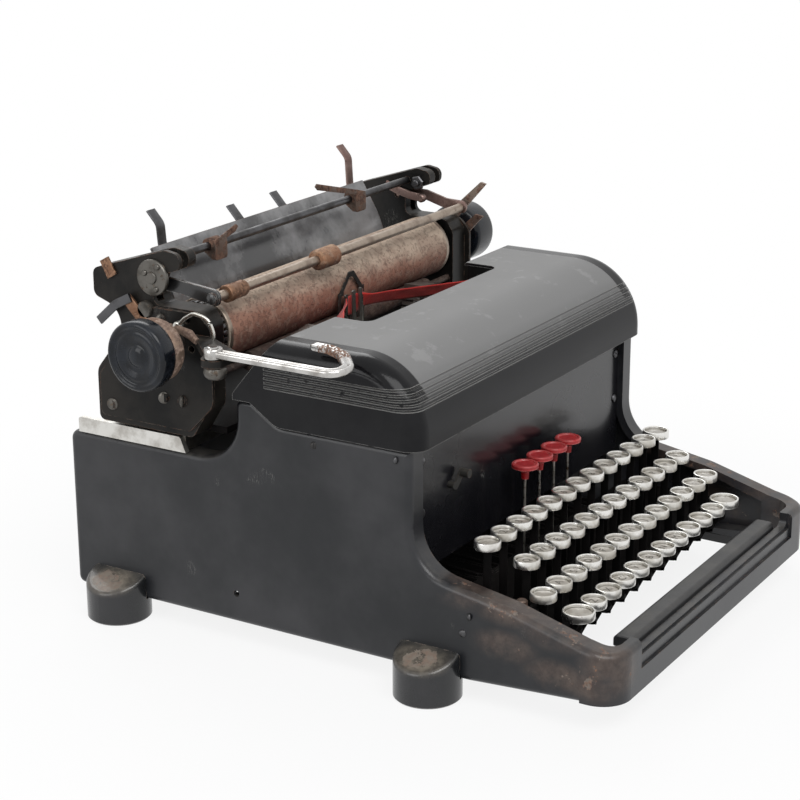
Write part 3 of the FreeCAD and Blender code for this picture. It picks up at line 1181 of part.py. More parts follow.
def mainspring_drum():
    """The spring drum that pulls the carriage, on a stud in the rear panel."""
    back = REAR_PANEL_Y - 0.8 - DRUM_Y
    return turned([(0, 0), (DRUM_RADIUS + 2, 0), (DRUM_RADIUS + 2, 1.5), (DRUM_RADIUS, 1.5), (DRUM_RADIUS, 10),
                   (DRUM_RADIUS + 2, 10), (DRUM_RADIUS + 2, 11.5), (ARBOR_RADIUS, 11.5), (ARBOR_RADIUS, back),
                   (0, back)], Vector(DRUM_X, DRUM_Y, DRUM_Z), (0, 1, 0))


def bell():
    """The margin bell on its post."""
    back = REAR_PANEL_Y - REAR_PANEL_THICKNESS
    shell = turned([(0, 0), (9, 0.8), (16, 4), (20.5, 9), (BELL_RADIUS, 16), (BELL_RADIUS - 1.5, 16), (19.2, 9.6),
                    (15.2, 5.2), (8.6, 2.4), (0, 1.6)], Vector(BELL_X, BELL_Y, BELL_Z), (0, 1, 0))
    post = bar_y(BELL_X, BELL_Z, 3, BELL_Y + 1.0, back)
    return fuse(shell, post)


# ---- small controls and fasteners --------------------------------------------------------
def ribbon_selector():
    """The small lever at the left of the front panel that sets the ribbon colour."""
    y0 = PANEL_Y
    x, z = SELECTOR_X, SELECTOR_Z
    pin = bar_y(x, z, 2, y0 - 4, y0 + 5)
    arm = plate_y([(x - 3, z - 3, 2), (x + 3, z - 3, 2), (x + 11, z + 4, 2), (x + 8, z + 9, 2)], y0 - 4, y0 - 2.8)
    grip = bar_y(x + 8.5, z + 5.5, 2.6, y0 - 9, y0 - 2.8)
    return fuse(pin, arm, grip)


def screw(centre, axis, radius):
    """A slotted round head on a short shank."""
    head = turned([(0, -4), (radius * 0.55, -4), (radius * 0.55, 0), (radius, 0), (radius * 0.8, radius * 0.45),
                   (0, radius * 0.55)], centre, axis)
    return head


def frame_screws():
    """Screws that hold the front panel and the side frames."""
    screws = []
    for side in (-1, 1):
        for z in (131, 100):
            screws.append((Vector(side * (HALF_INSIDE - 5), PANEL_Y, z), (0, -1, 0), 3.0))
        for y, z in ((6, 136), (-49, 137), (-96, 53), (-92, 42)):
            screws.append((Vector(side * BODY_HALF_WIDTH, y, z), (side, 0, 0), 2.2))
    return screws


NODES = {}


def keep(name, shape):
    NODES[name] = shape


def build():
    side = right_side_frame()
    panel = front_panel()
    heads = []
    for centre, axis, radius in frame_screws():
        made = screw(centre, axis, radius)
        heads.append(made)
        if abs(axis[0]) > 0:
            side = side.cut(made) if axis[0] > 0 else side
        else:
            panel = panel.cut(made)
    keep("side_frame_right", side)
    keep("side_frame_left", mirror_x(side))
    keep("front_rail", front_rail())
    keep("front_panel", panel)
    keep("rear_panel", rear_panel())
    keep("base_frame", Part.makeCompound([bottom_frame(), cross_bar()]))
    keep("top_cover", top_cover())
    keep("feet", feet())
    keep("trim_strips", trim_strips())
    keep("carriage_rails", carriage_rails())
    keep("frame_screws", Part.makeCompound(heads))
    keep("key_comb", key_comb())
    rod_end = FULCRUM_EAR_X + 2
    keep("key_fulcrum_rod", bar_x(FULCRUM_Y, FULCRUM_Z, FULCRUM_RADIUS, -rod_end, rod_end))
    for name, shape in key_nodes().items():
        keep(name, shape)
    for index in range(TAB_KEY_COUNT):
        keep(f"tab_key_{index + 1}", tab_key(index))
    keep("space_bar", space_bar())
    keep("type_segment", type_segment())
    keep("typebars", typebars())
    keep("strike_typebar", spun(typebar_flat(), typebar_angle(STRIKE_TYPEBAR)))
    keep("type_rest", type_rest())
    keep("type_guide", type_guide())
    keep("card_holder", card_holder())
    keep("ribbon_vibrator", ribbon_vibrator())
    keep("spool_brackets", spool_bracket())
    keep("ribbon_spool_left", ribbon_spool(-1))
    keep("ribbon_spool_right", ribbon_spool(1))
    keep("ribbon", ribbon())
    keep("ribbon_selector", ribbon_selector())
    keep("carriage_bed", carriage_bed())
    keep("carriage_end_left", carriage_end_left())
    keep("carriage_end_right", carriage_end_right())
    keep("platen", platen())
    keep("platen_core", platen_core())
    keep("platen_knobs", platen_knobs())
    keep("feed_roller", feed_roller())
    keep("return_lever", return_lever())
    keep("paper_bail", paper_bail())
    keep("bail_roller", bail_roller())
    keep("paper_table", paper_table())
    keep("paper_fingers", paper_fingers())
    keep("margin_rod", margin_rod())
    keep("margin_stop_left", margin_stop(-1))
    keep("margin_stop_right", margin_stop(1))
    paper, free = (end_lever(*sizes) for sizes in zip(RELEASE_PIVOTS, RELEASE_TIPS, RELEASE_WIDTHS))
    keep("paper_release_lever", paper)
    keep("carriage_release_lever", free)
    keep("escapement_rack", escapement_rack())
    keep("escapement_wheel", escapement_wheel())
    keep("mainspring_drum", mainspring_drum())
    keep("bell", bell())


build()
os.makedirs("parts", exist_ok=True)
for node_name, node_shape in NODES.items():
    node_shape.exportStep(f"parts/{node_name}.step")
print(len(NODES), "nodes")
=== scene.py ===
"""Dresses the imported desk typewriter: its finishes, its detail pieces and a plain studio."""

import logging
import math
from dataclasses import dataclass, field
from enum import Enum
from itertools import accumulate
from typing import Any, Iterable, Optional, Sequence

import bmesh
import bpy
from mathutils import Matrix, Vector


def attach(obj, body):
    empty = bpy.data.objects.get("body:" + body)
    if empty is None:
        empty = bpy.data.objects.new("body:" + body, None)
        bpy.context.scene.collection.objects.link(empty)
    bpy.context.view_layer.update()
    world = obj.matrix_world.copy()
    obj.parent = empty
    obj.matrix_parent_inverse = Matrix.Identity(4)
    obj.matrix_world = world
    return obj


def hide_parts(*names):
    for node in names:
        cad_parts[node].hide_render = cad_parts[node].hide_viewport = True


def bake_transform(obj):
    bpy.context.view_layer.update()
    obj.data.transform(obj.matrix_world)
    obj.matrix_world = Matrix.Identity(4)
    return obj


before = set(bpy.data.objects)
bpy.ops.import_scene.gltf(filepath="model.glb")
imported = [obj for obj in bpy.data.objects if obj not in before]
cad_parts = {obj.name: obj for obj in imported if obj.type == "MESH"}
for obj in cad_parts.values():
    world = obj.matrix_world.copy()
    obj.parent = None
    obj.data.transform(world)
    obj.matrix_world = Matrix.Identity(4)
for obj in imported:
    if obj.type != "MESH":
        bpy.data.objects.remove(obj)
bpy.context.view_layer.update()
LOG = logging.getLogger("typewriter")
MM = 0.001
QUARTER_TURN = math.pi / 2
Colour = tuple[float, float, float]
Point = tuple[float, float, float]
Flat = tuple[float, float]
Zone = tuple[Point, Point]
Wire = bpy.types.NodeSocket
Socket = tuple[str, str, Any]
FLOAT, VECTOR, COLOUR = "NodeSocketFloat", "NodeSocketVector", "NodeSocketColor"


# ---- node trees --------------------------------------------------------------------------
class Tree:
    """A node tree that is being filled: a material, a shared group or a geometry tree."""

    def __init__(self, tree: bpy.types.NodeTree) -> None:
        """Empties the tree.

        Args:
            tree: the tree to fill.
        """
        self.tree = tree
        self.tree.nodes.clear()

    def add(self, kind: str, inputs: Optional[dict[Any, Any]] = None, **settings: Any) -> bpy.types.Node:
        """Adds a node.

        Args:
            kind: the node's type name.
            inputs: a value or another socket for each input, by its name or number.
            settings: the node's own properties.

        Returns:
            The new node.
        """
        node = self.tree.nodes.new(kind)
        for key, value in settings.items():
            setattr(node, key, value)
        for key, value in (inputs or {}).items():
            self.feed(node.inputs[key], value)
        return node

    def feed(self, socket: Wire, value: Any) -> None:
        """Links a socket into an input, or sets the input's own value.

        Args:
            socket: the input.
            value: a socket or a plain value.
        """
        if isinstance(value, Wire):
            self.tree.links.new(value, socket)
        else:
            socket.default_value = value

    def calc(self, operation: str, *values: Any, clamp: bool = False) -> Wire:
        """Adds a Math node.

        Args:
            operation: the Math node's operation.
            values: its operands.
            clamp: whether the result stays between 0 and 1.

        Returns:
            The result's socket.
        """
        node = self.add("ShaderNodeMath", dict(enumerate(values)), operation=operation, use_clamp=clamp)
        return node.outputs[0]

    def span(self, value: Any, low: float, high: float, to_low: float = 0.0, to_high: float = 1.0) -> Wire:
        """Maps a value from one range to another, with smooth ends.

        Args:
            value: the value's socket.
            low: the value that becomes to_low.
            high: the value that becomes to_high.
            to_low: the result at low.
            to_high: the result at high.

        Returns:
            The result's socket.
        """
        node = self.add("ShaderNodeMapRange", {0: value, 1: low, 2: high, 3: to_low, 4: to_high},
                        interpolation_type="SMOOTHSTEP")
        return node.outputs[0]

    def times(self, *values: Any, clamp: bool = False) -> Wire:
        """Gives the product of two values."""
        return self.calc("MULTIPLY", *values, clamp=clamp)

    def plus(self, *values: Any, clamp: bool = False) -> Wire:
        """Gives the sum of two values."""
        return self.calc("ADD", *values, clamp=clamp)

    def minus(self, *values: Any, clamp: bool = False) -> Wire:
        """Gives the first value less the second."""
        return self.calc("SUBTRACT", *values, clamp=clamp)

    def larger(self, *values: Any) -> Wire:
        """Gives the larger of two values."""
        return self.calc("MAXIMUM", *values)

    def vector(self, operation: str, *values: Any) -> bpy.types.Node:
        """Adds a Vector Math node."""
        return self.add("ShaderNodeVectorMath", dict(enumerate(values)), operation=operation)

    def noise(self, where: Wire, scale: Any, detail: float = 2.0, roughness: float = 0.5) -> Wire:
        """Adds a noise texture.

        Args:
            where: the place's socket.
            scale: how many clouds lie in a metre.
            detail: how many finer layers are laid over them.
            roughness: how strong each finer layer is.

        Returns:
            The value's socket.
        """
        inputs = {"Vector": where, "Scale": scale, "Detail": detail, "Roughness": roughness}
        return self.add("ShaderNodeTexNoise", inputs).outputs[0]

    def mix(self, factor: Any, first: Any, second: Any) -> Wire:
        """Mixes two colours.

        Args:
            factor: the share of the second colour.
            first: a colour or its socket.
            second: a colour or its socket.

        Returns:
            The mixed colour's socket.
        """
        values = [c if isinstance(c, Wire) else (*c[:3], 1.0) for c in (first, second)]
        node = self.add("ShaderNodeMix", {0: factor, 6: values[0], 7: values[1]}, data_type="RGBA")
        return node.outputs[2]


def new_tree(name: str, kind: str, inputs: Sequence[Socket],
             outputs: Sequence[Socket]) -> tuple[Tree, bpy.types.Node, bpy.types.Node]:
    """Makes a named node group with its sockets.

    Args:
        name: the group's name.
        kind: ShaderNodeTree or GeometryNodeTree.
        inputs: name, socket type and default of each input.
        outputs: the same for each output.

    Returns:
        The tree, its input node and its output node.
    """
    group = bpy.data.node_groups.new(name, kind)
    for way, sockets in (("INPUT", inputs), ("OUTPUT", outputs)):
        for label, socket_type, default in sockets:
            socket = group.interface.new_socket(name=label, in_out=way, socket_type=socket_type)
            if default is not None:
                socket.default_value = default
    tree = Tree(group)
    return tree, tree.add("NodeGroupInput"), tree.add("NodeGroupOutput")


class Effect(Enum):
    """The shader groups that several finishes share."""

    MOTTLE = "mottle"
    SCRATCHES = "scratches"
    FLAKES = "flakes"
    RUST = "rust"
    ZONE = "zone"
    BARE_EDGE_AND_HIGHLIGHT = "bare_edge_and_highlight"
    DUST_AND_SHEEN = "dust_and_sheen"

    def group(self) -> bpy.types.NodeTree:
        """Gives the effect's node group, built on first use."""
        found = bpy.data.node_groups.get(self.value)
        return found or getattr(self, f"_{self.value}")()

    def _start(self, *inputs: Socket,
               output: Socket = ("Mask", FLOAT, None)) -> tuple[Tree, list[Wire], Wire]:
        """Makes the group's sockets: a place on the surface, the named inputs and one output.

        Args:
            inputs: name, socket type and default of each input.
            output: the same for the output.

        Returns:
            The tree, what its inputs give and the socket that ends it.
        """
        sockets = [("Vector", VECTOR, None), *inputs]
        tree, enter, leave = new_tree(self.value, "ShaderNodeTree", sockets, [output])
        return tree, [enter.outputs[i] for i in range(len(sockets))], leave.inputs[0]

    def _mottle(self) -> bpy.types.NodeTree:
        """Soft clouds: a value that drifts over the surface.

        Returns:
            The node group.
        """
        tree, (where, scale, low, high), out = self._start(
            ("Scale", FLOAT, 40.0), ("Low", FLOAT, 0.35), ("High", FLOAT, 0.65))
        tree.feed(out, tree.span(tree.noise(where, scale, 5.0, 0.62), low, high))
        return tree.tree

    def _scratches(self) -> bpy.types.NodeTree:
        """Thin scuffs that run in two slanting directions.

        Returns:
            The node group.
        """
        tree, (where, scale, amount), out = self._start(("Scale", FLOAT, 60.0), ("Amount", FLOAT, 0.5))
        masks = []
        for turn, seed in (((0.5, 0.2, 0.9), 3.0), ((-0.7, 0.4, -0.4), 11.0)):
            place = tree.add("ShaderNodeMapping",
                             {0: where, 1: (seed, seed, seed), 2: turn, 3: (1.0, 9.0, 1.6)})
            away = tree.minus(tree.noise(place.outputs[0], scale), 0.5)
            masks.append(tree.span(tree.calc("ABSOLUTE", away), 0.0, 0.009, 1.0, 0.0))
        limit = tree.minus(0.72, tree.times(amount, 0.3))
        patch = tree.span(tree.minus(tree.noise(where, 34.0), limit), 0.0, 0.06)
        tree.feed(out, tree.times(tree.larger(*masks), patch, clamp=True))
        return tree.tree

    def _flakes(self) -> bpy.types.NodeTree:
        """Small crisp islands where a coat of paint has come off.

        Returns:
            The node group.
        """
        tree, (where, scale, amount), out = self._start(("Scale", FLOAT, 120.0), ("Amount", FLOAT, 0.3))
        limit = tree.minus(0.78, tree.times(amount, 0.42))
        tree.feed(out, tree.span(tree.minus(tree.noise(where, scale, 6.0, 0.7), limit), 0.0, 0.03))
        return tree.tree

    def _rust(self) -> bpy.types.NodeTree:
        """The colour of old rust.

        Returns:
            The node group.
        """
        tree, (where, scale, dark, light), out = self._start(
            ("Scale", FLOAT, 300.0), ("Dark", COLOUR, (0.05, 0.022, 0.014, 1)),
            ("Light", COLOUR, (0.24, 0.11, 0.06, 1)), output=("Colour", COLOUR, None))
        level = tree.span(tree.noise(where, scale, 6.0, 0.75), 0.36, 0.66)
        tree.feed(out, tree.mix(level, dark, light))
        return tree.tree

    def _zone(self) -> bpy.types.NodeTree:
        """A soft ellipsoid round one place of the object.

        Returns:
            The node group.
        """
        tree, (where, centre, size), out = self._start(
            ("Centre", VECTOR, (0, 0, 0)), ("Size", VECTOR, (0.02, 0.02, 0.02)))
        away = tree.vector("SUBTRACT", where, centre).outputs[0]
        far = tree.vector("LENGTH", tree.vector("DIVIDE", away, size).outputs[0])
        tree.feed(out, tree.span(far.outputs["Value"], 0.35, 1.0, 1.0, 0.0))
        return tree.tree

    def _bare_edge_and_highlight(self) -> bpy.types.NodeTree:
        """The sharp edges that hands and cloths have rubbed; on the cover's groove ridges and the red caps'
        rims the pale edge colour is a painted highlight.

        Returns:
            The node group.
        """
        tree, (where, radius, amount), out = self._start(("Radius", FLOAT, 0.0008), ("Amount", FLOAT, 0.5))
        bevel = tree.add("ShaderNodeBevel", {"Radius": radius}, samples=4)
        true = tree.add("ShaderNodeNewGeometry")
        dot = tree.vector("DOT_PRODUCT", bevel.outputs[0], true.outputs["Normal"])
        turned = tree.span(dot.outputs["Value"], 0.97, 0.80)
        limit = tree.minus(0.75, tree.times(amount, 0.5))
        broken = tree.span(tree.minus(tree.noise(where, 260.0, 4.0), limit), 0.0, 0.12)
        tree.feed(out, tree.times(turned, broken, clamp=True))
        return tree.tree

    def _dust_and_sheen(self) -> bpy.types.NodeTree:
        """Dust that lies on whatever looks up; with Evenness near 1, as on the cover, it is an even pale coat
        on all upward faces and mostly painted sheen.

        Returns:
            The node group.
        """
        tree, (where, amount, evenness), out = self._start(("Amount", FLOAT, 0.3), ("Evenness", FLOAT, 0.0))
        normal = tree.add("ShaderNodeTexCoord").outputs["Normal"]
        # Upward faces take the pale coat, so tops come out lighter than sides; where the coat is even this is
        # painted sheen.
        flat = tree.span(tree.add("ShaderNodeSeparateXYZ", {0: normal}).outputs[2], 0.36, 0.78)
        cloud = tree.larger(tree.span(tree.noise(where, 55.0, 5.0, 0.7), 0.36, 0.68), evenness)
        tree.feed(out, tree.times(tree.times(flat, cloud), amount, clamp=True))
        return tree.tree


# ---- finishes ----------------------------------------------------------------------------
class Surface(Tree):
    """A material's tree, with its Principled shader and the object's own coordinates."""

    def __init__(self, name: str) -> None:
        """Makes the material.

        Args:
            name: the material's name.
        """
        self.material = bpy.data.materials.new(name)
        self.material.use_nodes = True
        super().__init__(self.material.node_tree)
        self.shader = self.add("ShaderNodeBsdfPrincipled")
        self.leave = self.add("ShaderNodeOutputMaterial", {"Surface": self.shader.outputs[0]})
        self.where = self.add("ShaderNodeTexCoord").outputs["Object"]

    def effect(self, effect: Effect, **values: Any) -> Wire:
        """Places a shared effect with this finish's own values.

        Args:
            effect: which group.
            values: its inputs by name.

        Returns:
            The output's socket.
        """
        node = self.add("ShaderNodeGroup", {0: self.where, **values}, node_tree=effect.group())
        return node.outputs[0]

    def near(self, zones: Sequence[Zone]) -> Wire:
        """Gives a mask of the surface inside any of the zones.

        Args:
            zones: centre and size of each, in metres.

        Returns:
            The mask's socket.
        """
        masks = [self.effect(Effect.ZONE, Centre=centre, Size=size) for centre, size in zones]
        near = masks[0]
        for mask in masks[1:]:
            near = self.larger(near, mask)
        return near

    def bump(self, height: Wire, depth: float) -> None:
        """Raises the surface.

        Args:
            height: the height's socket, from 0 to 1.
            depth: how much a height of 1 stands proud, in metres.
        """
        node = self.add("ShaderNodeBump", {"Strength": 1.0, "Distance": depth, "Height": height})
        self.feed(self.shader.inputs["Normal"], node.outputs[0])

    def set(self, **values: Any) -> None:
        """Feeds the shader's inputs, with an underscore for a space in a name."""
        for key, value in values.items():
            self.feed(self.shader.inputs[key.replace("_", " ")], value)


@dataclass(frozen=True)
class Finish:
    """A named finish. Its material is built once."""

    name: str

    def material(self) -> bpy.types.Material:
        """Gives the finish's material, built on first use."""
        return bpy.data.materials.get(self.name) or self.build()

    def build(self) -> bpy.types.Material:
        """Builds the material."""
        raise NotImplementedError


@dataclass(frozen=True)
class Paint(Finish):
    """Stoved paint on steel: clouds, grain, scuffs, flakes, rubbed edges, worn places and dusting on upward
    faces. On the cover the even pale upward coat is mostly painted sheen and the pale groove ridges are
    painted highlights; on the paper table the grey clouds are painted sheen.
    """

    colour: Colour = (0.012, 0.013, 0.016)
    cloud_and_sheen_colour: Colour = (0.03, 0.031, 0.035)
    metal_and_highlight_colour: Colour = (0.16, 0.14, 0.12)
    dust_and_sheen_colour: Colour = (0.20, 0.18, 0.15)
    roughness: float = 0.30
    roughness_spread: float = 0.14
    coat: float = 0.25
    grain_scale: float = 900.0
    grain_depth: float = 0.00004
    cloud_scale: float = 22.0
    specular: float = 0.4
    scuffs: float = 0.3
    flakes: float = 0.10
    edges: float = 0.4
    dust_and_sheen: float = 0.2
    dust_and_sheen_evenness: float = 0.0
    rusty: float = 1.0
    gloss_x: float = 0.0
    gloss_z: float = 0.0
    zones: tuple[Zone, ...] = ()
    zone_wear: float = 0.5
    worn_colour: Colour = (0.050, 0.034, 0.028)
    stain_colour: Colour = (0.085, 0.062, 0.050)

    def build(self) -> bpy.types.Material:
        """Builds the material.

        Returns:
            The material.
        """
        s = Surface(self.name)
        # Clouds of a second tone; on the paper table the pale grey tone is a painted sheen.
        clouds = s.effect(Effect.MOTTLE, Scale=self.cloud_scale)
        colour = s.mix(clouds, self.colour, self.cloud_and_sheen_colour)
        scuffs = s.effect(Effect.SCRATCHES, Scale=70.0, Amount=self.scuffs)
        colour = s.mix(s.times(scuffs, 0.35), colour, (0.30, 0.29, 0.27))
        # Pale coat on upward faces: real dusting, and on the cover mostly painted sheen that makes its top
        # lighter than its front.
        dust_and_sheen = s.effect(Effect.DUST_AND_SHEEN, Amount=self.dust_and_sheen, Evenness=self.dust_and_sheen_evenness)
        gloss: Any = 0.0
        if self.gloss_x:
            place = s.add("ShaderNodeSeparateXYZ", {0: s.where})
            outer = s.span(s.calc("ABSOLUTE", place.outputs[0]), self.gloss_x, self.gloss_x + 0.0015)
            gloss = s.times(outer, s.span(place.outputs[2], self.gloss_z, self.gloss_z + 0.004))
            # The glossy end bands keep none of the pale coat or its painted sheen.
            dust_and_sheen = s.times(dust_and_sheen, s.minus(1.0, gloss))
        colour = s.mix(dust_and_sheen, colour, self.dust_and_sheen_colour)
        # Rubbed edges show the metal below; on the cover this pale edge colour paints highlights along the
        # groove ridges.
        edge = s.effect(Effect.BARE_EDGE_AND_HIGHLIGHT, Amount=self.edges)
        bare = s.larger(edge, s.effect(Effect.FLAKES, Scale=150.0, Amount=self.flakes))
        rust = s.effect(Effect.RUST, Scale=420.0)
        if self.zones:
            near = s.near(self.zones)
            grown = s.times(near, self.zone_wear)
            worn = s.effect(Effect.FLAKES, Scale=90.0, Amount=grown)
            stain = s.times(near, s.effect(Effect.MOTTLE, Scale=26.0, Low=0.34, High=0.60))
            worn_paint = s.mix(s.effect(Effect.MOTTLE, Scale=190.0), self.worn_colour, self.stain_colour)
            colour = s.mix(s.times(stain, 0.9), colour, worn_paint)
            bare = s.larger(bare, s.times(worn, near))
        share = s.times(s.effect(Effect.MOTTLE, Scale=240.0), self.rusty)
        metal = s.mix(share, self.metal_and_highlight_colour, rust)
        colour = s.mix(bare, colour, metal)
        grain = s.noise(s.where, self.grain_scale, 3.0)
        rough = s.plus(self.roughness, s.times(clouds, self.roughness_spread))
        rough = s.plus(rough, s.times(s.larger(bare, dust_and_sheen), 0.3), clamp=True)
        rough = s.minus(rough, s.times(gloss, self.roughness * 0.7), clamp=True)
        height = s.minus(grain, s.times(bare, 0.8))
        s.set(Base_Color=colour, Roughness=rough, Specular_IOR_Level=self.specular, Coat_Weight=self.coat,
              Coat_Roughness=0.12)
        s.bump(height, self.grain_depth)
        return s.material


class Lay(Enum):
    """The way in which a metal was brushed or drawn."""

    NONE = (1.0, 1.0, 1.0)
    ALONG_X = (0.04, 1.0, 1.0)
    ALONG_Y = (1.0, 0.04, 1.0)


@dataclass(frozen=True)
class Metal(Finish):
    """Bare or plated metal: fine lines, tarnish, and rust that comes through."""

    colour: Colour = (0.50, 0.49, 0.46)
    tarnish_colour: Colour = (0.22, 0.20, 0.17)
    rust_dark: Colour = (0.06, 0.03, 0.02)
    rust_light: Colour = (0.26, 0.14, 0.09)
    roughness: float = 0.28
    tarnish: float = 0.4
    rust: float = 0.15
    rust_scale: float = 130.0
    lay: Lay = Lay.NONE
    zones: tuple[Zone, ...] = ()

    def build(self) -> bpy.types.Material:
        """Builds the material.

        Returns:
            The material.
        """
        s = Surface(self.name)
        cloud = s.effect(Effect.MOTTLE, Scale=70.0, Low=0.4, High=0.7)
        colour = s.mix(s.times(cloud, self.tarnish), self.colour, self.tarnish_colour)
        amount: Any = self.rust
        if self.zones:
            near = s.near(self.zones)
            amount = s.plus(s.times(near, 0.6), self.rust, clamp=True)
        mask = s.effect(Effect.FLAKES, Scale=self.rust_scale, Amount=amount)
        rust = s.effect(Effect.RUST, Dark=(*self.rust_dark, 1.0), Light=(*self.rust_light, 1.0))
        colour = s.mix(mask, colour, rust)
        place = s.add("ShaderNodeMapping", {0: s.where, 3: self.lay.value})
        lines = s.noise(place.outputs[0], 1500.0, 3.0)
        rough = s.plus(self.roughness, s.times(cloud, 0.22 * self.tarnish + 0.03))
        rough = s.plus(rough, s.times(mask, 0.5), clamp=True)
        s.set(Base_Color=colour, Roughness=rough, Metallic=s.minus(1.0, s.times(mask, 0.85)))
        s.bump(s.plus(lines, mask), 0.00003)
        return s.material


@dataclass(frozen=True)
class OldRubber(Finish):
    """Hard old rubber, pale above and dark below by height, with fine cracks: the pale upper side is painted
    light and the dark underside painted shade.
    """

    low_z: float = 0.165
    high_z: float = 0.208
    dark: Colour = (0.15, 0.065, 0.046)
    middle: Colour = (0.35, 0.18, 0.125)
    light: Colour = (0.56, 0.44, 0.34)
    clouding: float = 0.3

    def build(self) -> bpy.types.Material:
        """Builds the material.

        Returns:
            The material.
        """
        s = Surface(self.name)
        place = s.add("ShaderNodeSeparateXYZ", {0: s.where})
        # Colour by height: painted light on the upper side, painted shade underneath, with the rubber's own
        # brown between.
        height = s.plus(place.outputs[2], s.times(place.outputs[0], 0.05))
        stretched = s.add("ShaderNodeMapping", {0: s.where, 3: (0.35, 1.0, 1.0)}).outputs[0]
        streak = s.noise(stretched, 120.0, 6.0, 0.7)
        wander = s.times(s.minus(streak, 0.5), 0.014)
        level = s.span(s.plus(height, wander), self.low_z, self.high_z)
        lower = s.mix(s.span(level, 0.0, 0.55), self.dark, self.middle)
        colour = s.mix(s.span(level, 0.55, 0.95), lower, self.light)
        cloud = s.effect(Effect.MOTTLE, Scale=60.0, Low=0.46, High=0.57)
        colour = s.mix(s.times(cloud, self.clouding), colour, (0.125, 0.040, 0.024))
        pale = s.effect(Effect.MOTTLE, Scale=190.0, Low=0.50, High=0.60)
        colour = s.mix(s.times(pale, self.clouding * 0.8), colour, (0.47, 0.36, 0.28))
        speckle = s.effect(Effect.MOTTLE, Scale=420.0, Low=0.53, High=0.60)
        colour = s.mix(s.times(speckle, self.clouding * 0.8), colour, (0.07, 0.034, 0.025))
        s.set(Base_Color=colour, Roughness=s.span(streak, 0.2, 0.8, 0.62, 0.86))
        s.bump(s.minus(streak, speckle), 0.0003)
        return s.material


@dataclass(frozen=True)
class Moulded(Finish):
    """Black moulded resin with a blue sheen in soft clouds, where it is also rougher."""

    colour: Colour = (0.004, 0.005, 0.007)
    bloom: Colour = (0.014, 0.018, 0.026)
    roughness: float = 0.15

    def build(self) -> bpy.types.Material:
        """Builds the material.

        Returns:
            The material.
        """
        s = Surface(self.name)
        cloud = s.effect(Effect.MOTTLE, Scale=90.0)
        scuffs = s.effect(Effect.SCRATCHES, Scale=160.0, Amount=0.4)
        colour = s.mix(s.times(cloud, 0.5), self.colour, self.bloom)
        colour = s.mix(s.times(scuffs, 0.3), colour, (0.2, 0.2, 0.2))
        grain = s.noise(s.where, 1400.0)
        s.set(Base_Color=colour, Roughness=s.plus(self.roughness, s.times(cloud, 0.16)),
              Specular_IOR_Level=0.20, Coat_Weight=0.18, Coat_Roughness=0.1)
        s.bump(grain, 0.00001)
        return s.material


@dataclass(frozen=True)
class KeyPaper(Finish):
    """The pale disc under a key's clear face, yellowed and spotted."""

    colour: Colour = (0.42, 0.39, 0.34)
    stain: Colour = (0.17, 0.14, 0.11)

    def build(self) -> bpy.types.Material:
        """Builds the material.

        Returns:
            The material.
        """
        s = Surface(self.name)
        cloud = s.effect(Effect.MOTTLE, Scale=210.0)
        spots = s.effect(Effect.FLAKES, Scale=900.0, Amount=0.34)
        colour = s.mix(s.times(cloud, 0.45), self.colour, self.stain)
        colour = s.mix(s.times(spots, 0.7), colour, (0.12, 0.09, 0.06))
        grain = s.noise(s.where, 2500.0)
        s.set(Base_Color=colour, Roughness=s.plus(0.3, s.times(cloud, 0.2)), Coat_Weight=0.5)
        s.bump(grain, 0.00001)
        return s.material


@dataclass(frozen=True)
class CapAndWire(Finish):
    """A red cap on a steel wire: one finish above a height, the other below it. The pale red round the cap's
    rim is a painted highlight.
    """

    change_z: float = 0.0933
    cap: Colour = (0.42, 0.012, 0.016)
    # Pale red that the edge mask lays round the cap's rim: a painted highlight.
    worn: Colour = (0.74, 0.27, 0.25)
    wire: Colour = (0.38, 0.36, 0.33)

    def build(self) -> bpy.types.Material:
        """Builds the material.

        Returns:
            The material.
        """
        s = Surface(self.name)
        height = s.add("ShaderNodeSeparateXYZ", {0: s.where}).outputs[2]
        above = s.calc("GREATER_THAN", height, self.change_z)
        cloud = s.effect(Effect.MOTTLE, Scale=260.0)
        edge = s.effect(Effect.BARE_EDGE_AND_HIGHLIGHT, Amount=1.0, Radius=0.0009)
        red = s.mix(s.times(cloud, 0.5), self.cap, (0.20, 0.01, 0.012))
        red = s.mix(edge, red, self.worn)
        steel = s.mix(s.effect(Effect.FLAKES, Scale=500.0, Amount=0.5), self.wire, (0.10, 0.06, 0.04))
        grain = s.noise(s.where, 1200.0)
        s.set(Base_Color=s.mix(above, steel, red), Metallic=s.minus(1.0, above),
              Roughness=s.plus(0.27, s.times(cloud, 0.2)))
        s.bump(grain, 0.00003)
        return s.material


@dataclass(frozen=True)
class InkedCloth(Finish):
    """Woven ribbon: fine threads along and across, on the piece's own UV map."""

    colour: Colour = (0.80, 0.036, 0.026)
    shade: Colour = (0.42, 0.014, 0.012)

    def build(self) -> bpy.types.Material:
        """Builds the material.

        Returns:
            The material.
        """
        s = Surface(self.name)
        uv = s.add("ShaderNodeTexCoord").outputs["UV"]
        place = s.add("ShaderNodeMapping", {0: uv, 3: (1800.0, 1800.0, 1.0)})
        threads = {"Vector": place.outputs[0], "Scale": 0.35}
        weave = s.larger(*(s.add("ShaderNodeTexWave", threads, bands_direction=way).outputs["Fac"]
                           for way in "XY"))
        cloud = s.effect(Effect.MOTTLE, Scale=110.0)
        colour = s.mix(s.times(weave, 0.35), self.colour, self.shade)
        colour = s.mix(s.times(cloud, 0.45), colour, self.shade)
        s.set(Base_Color=colour, Roughness=s.span(cloud, 0.0, 1.0, 0.55, 0.8), Sheen_Weight=0.2)
        s.bump(weave, 0.00006)
        return s.material


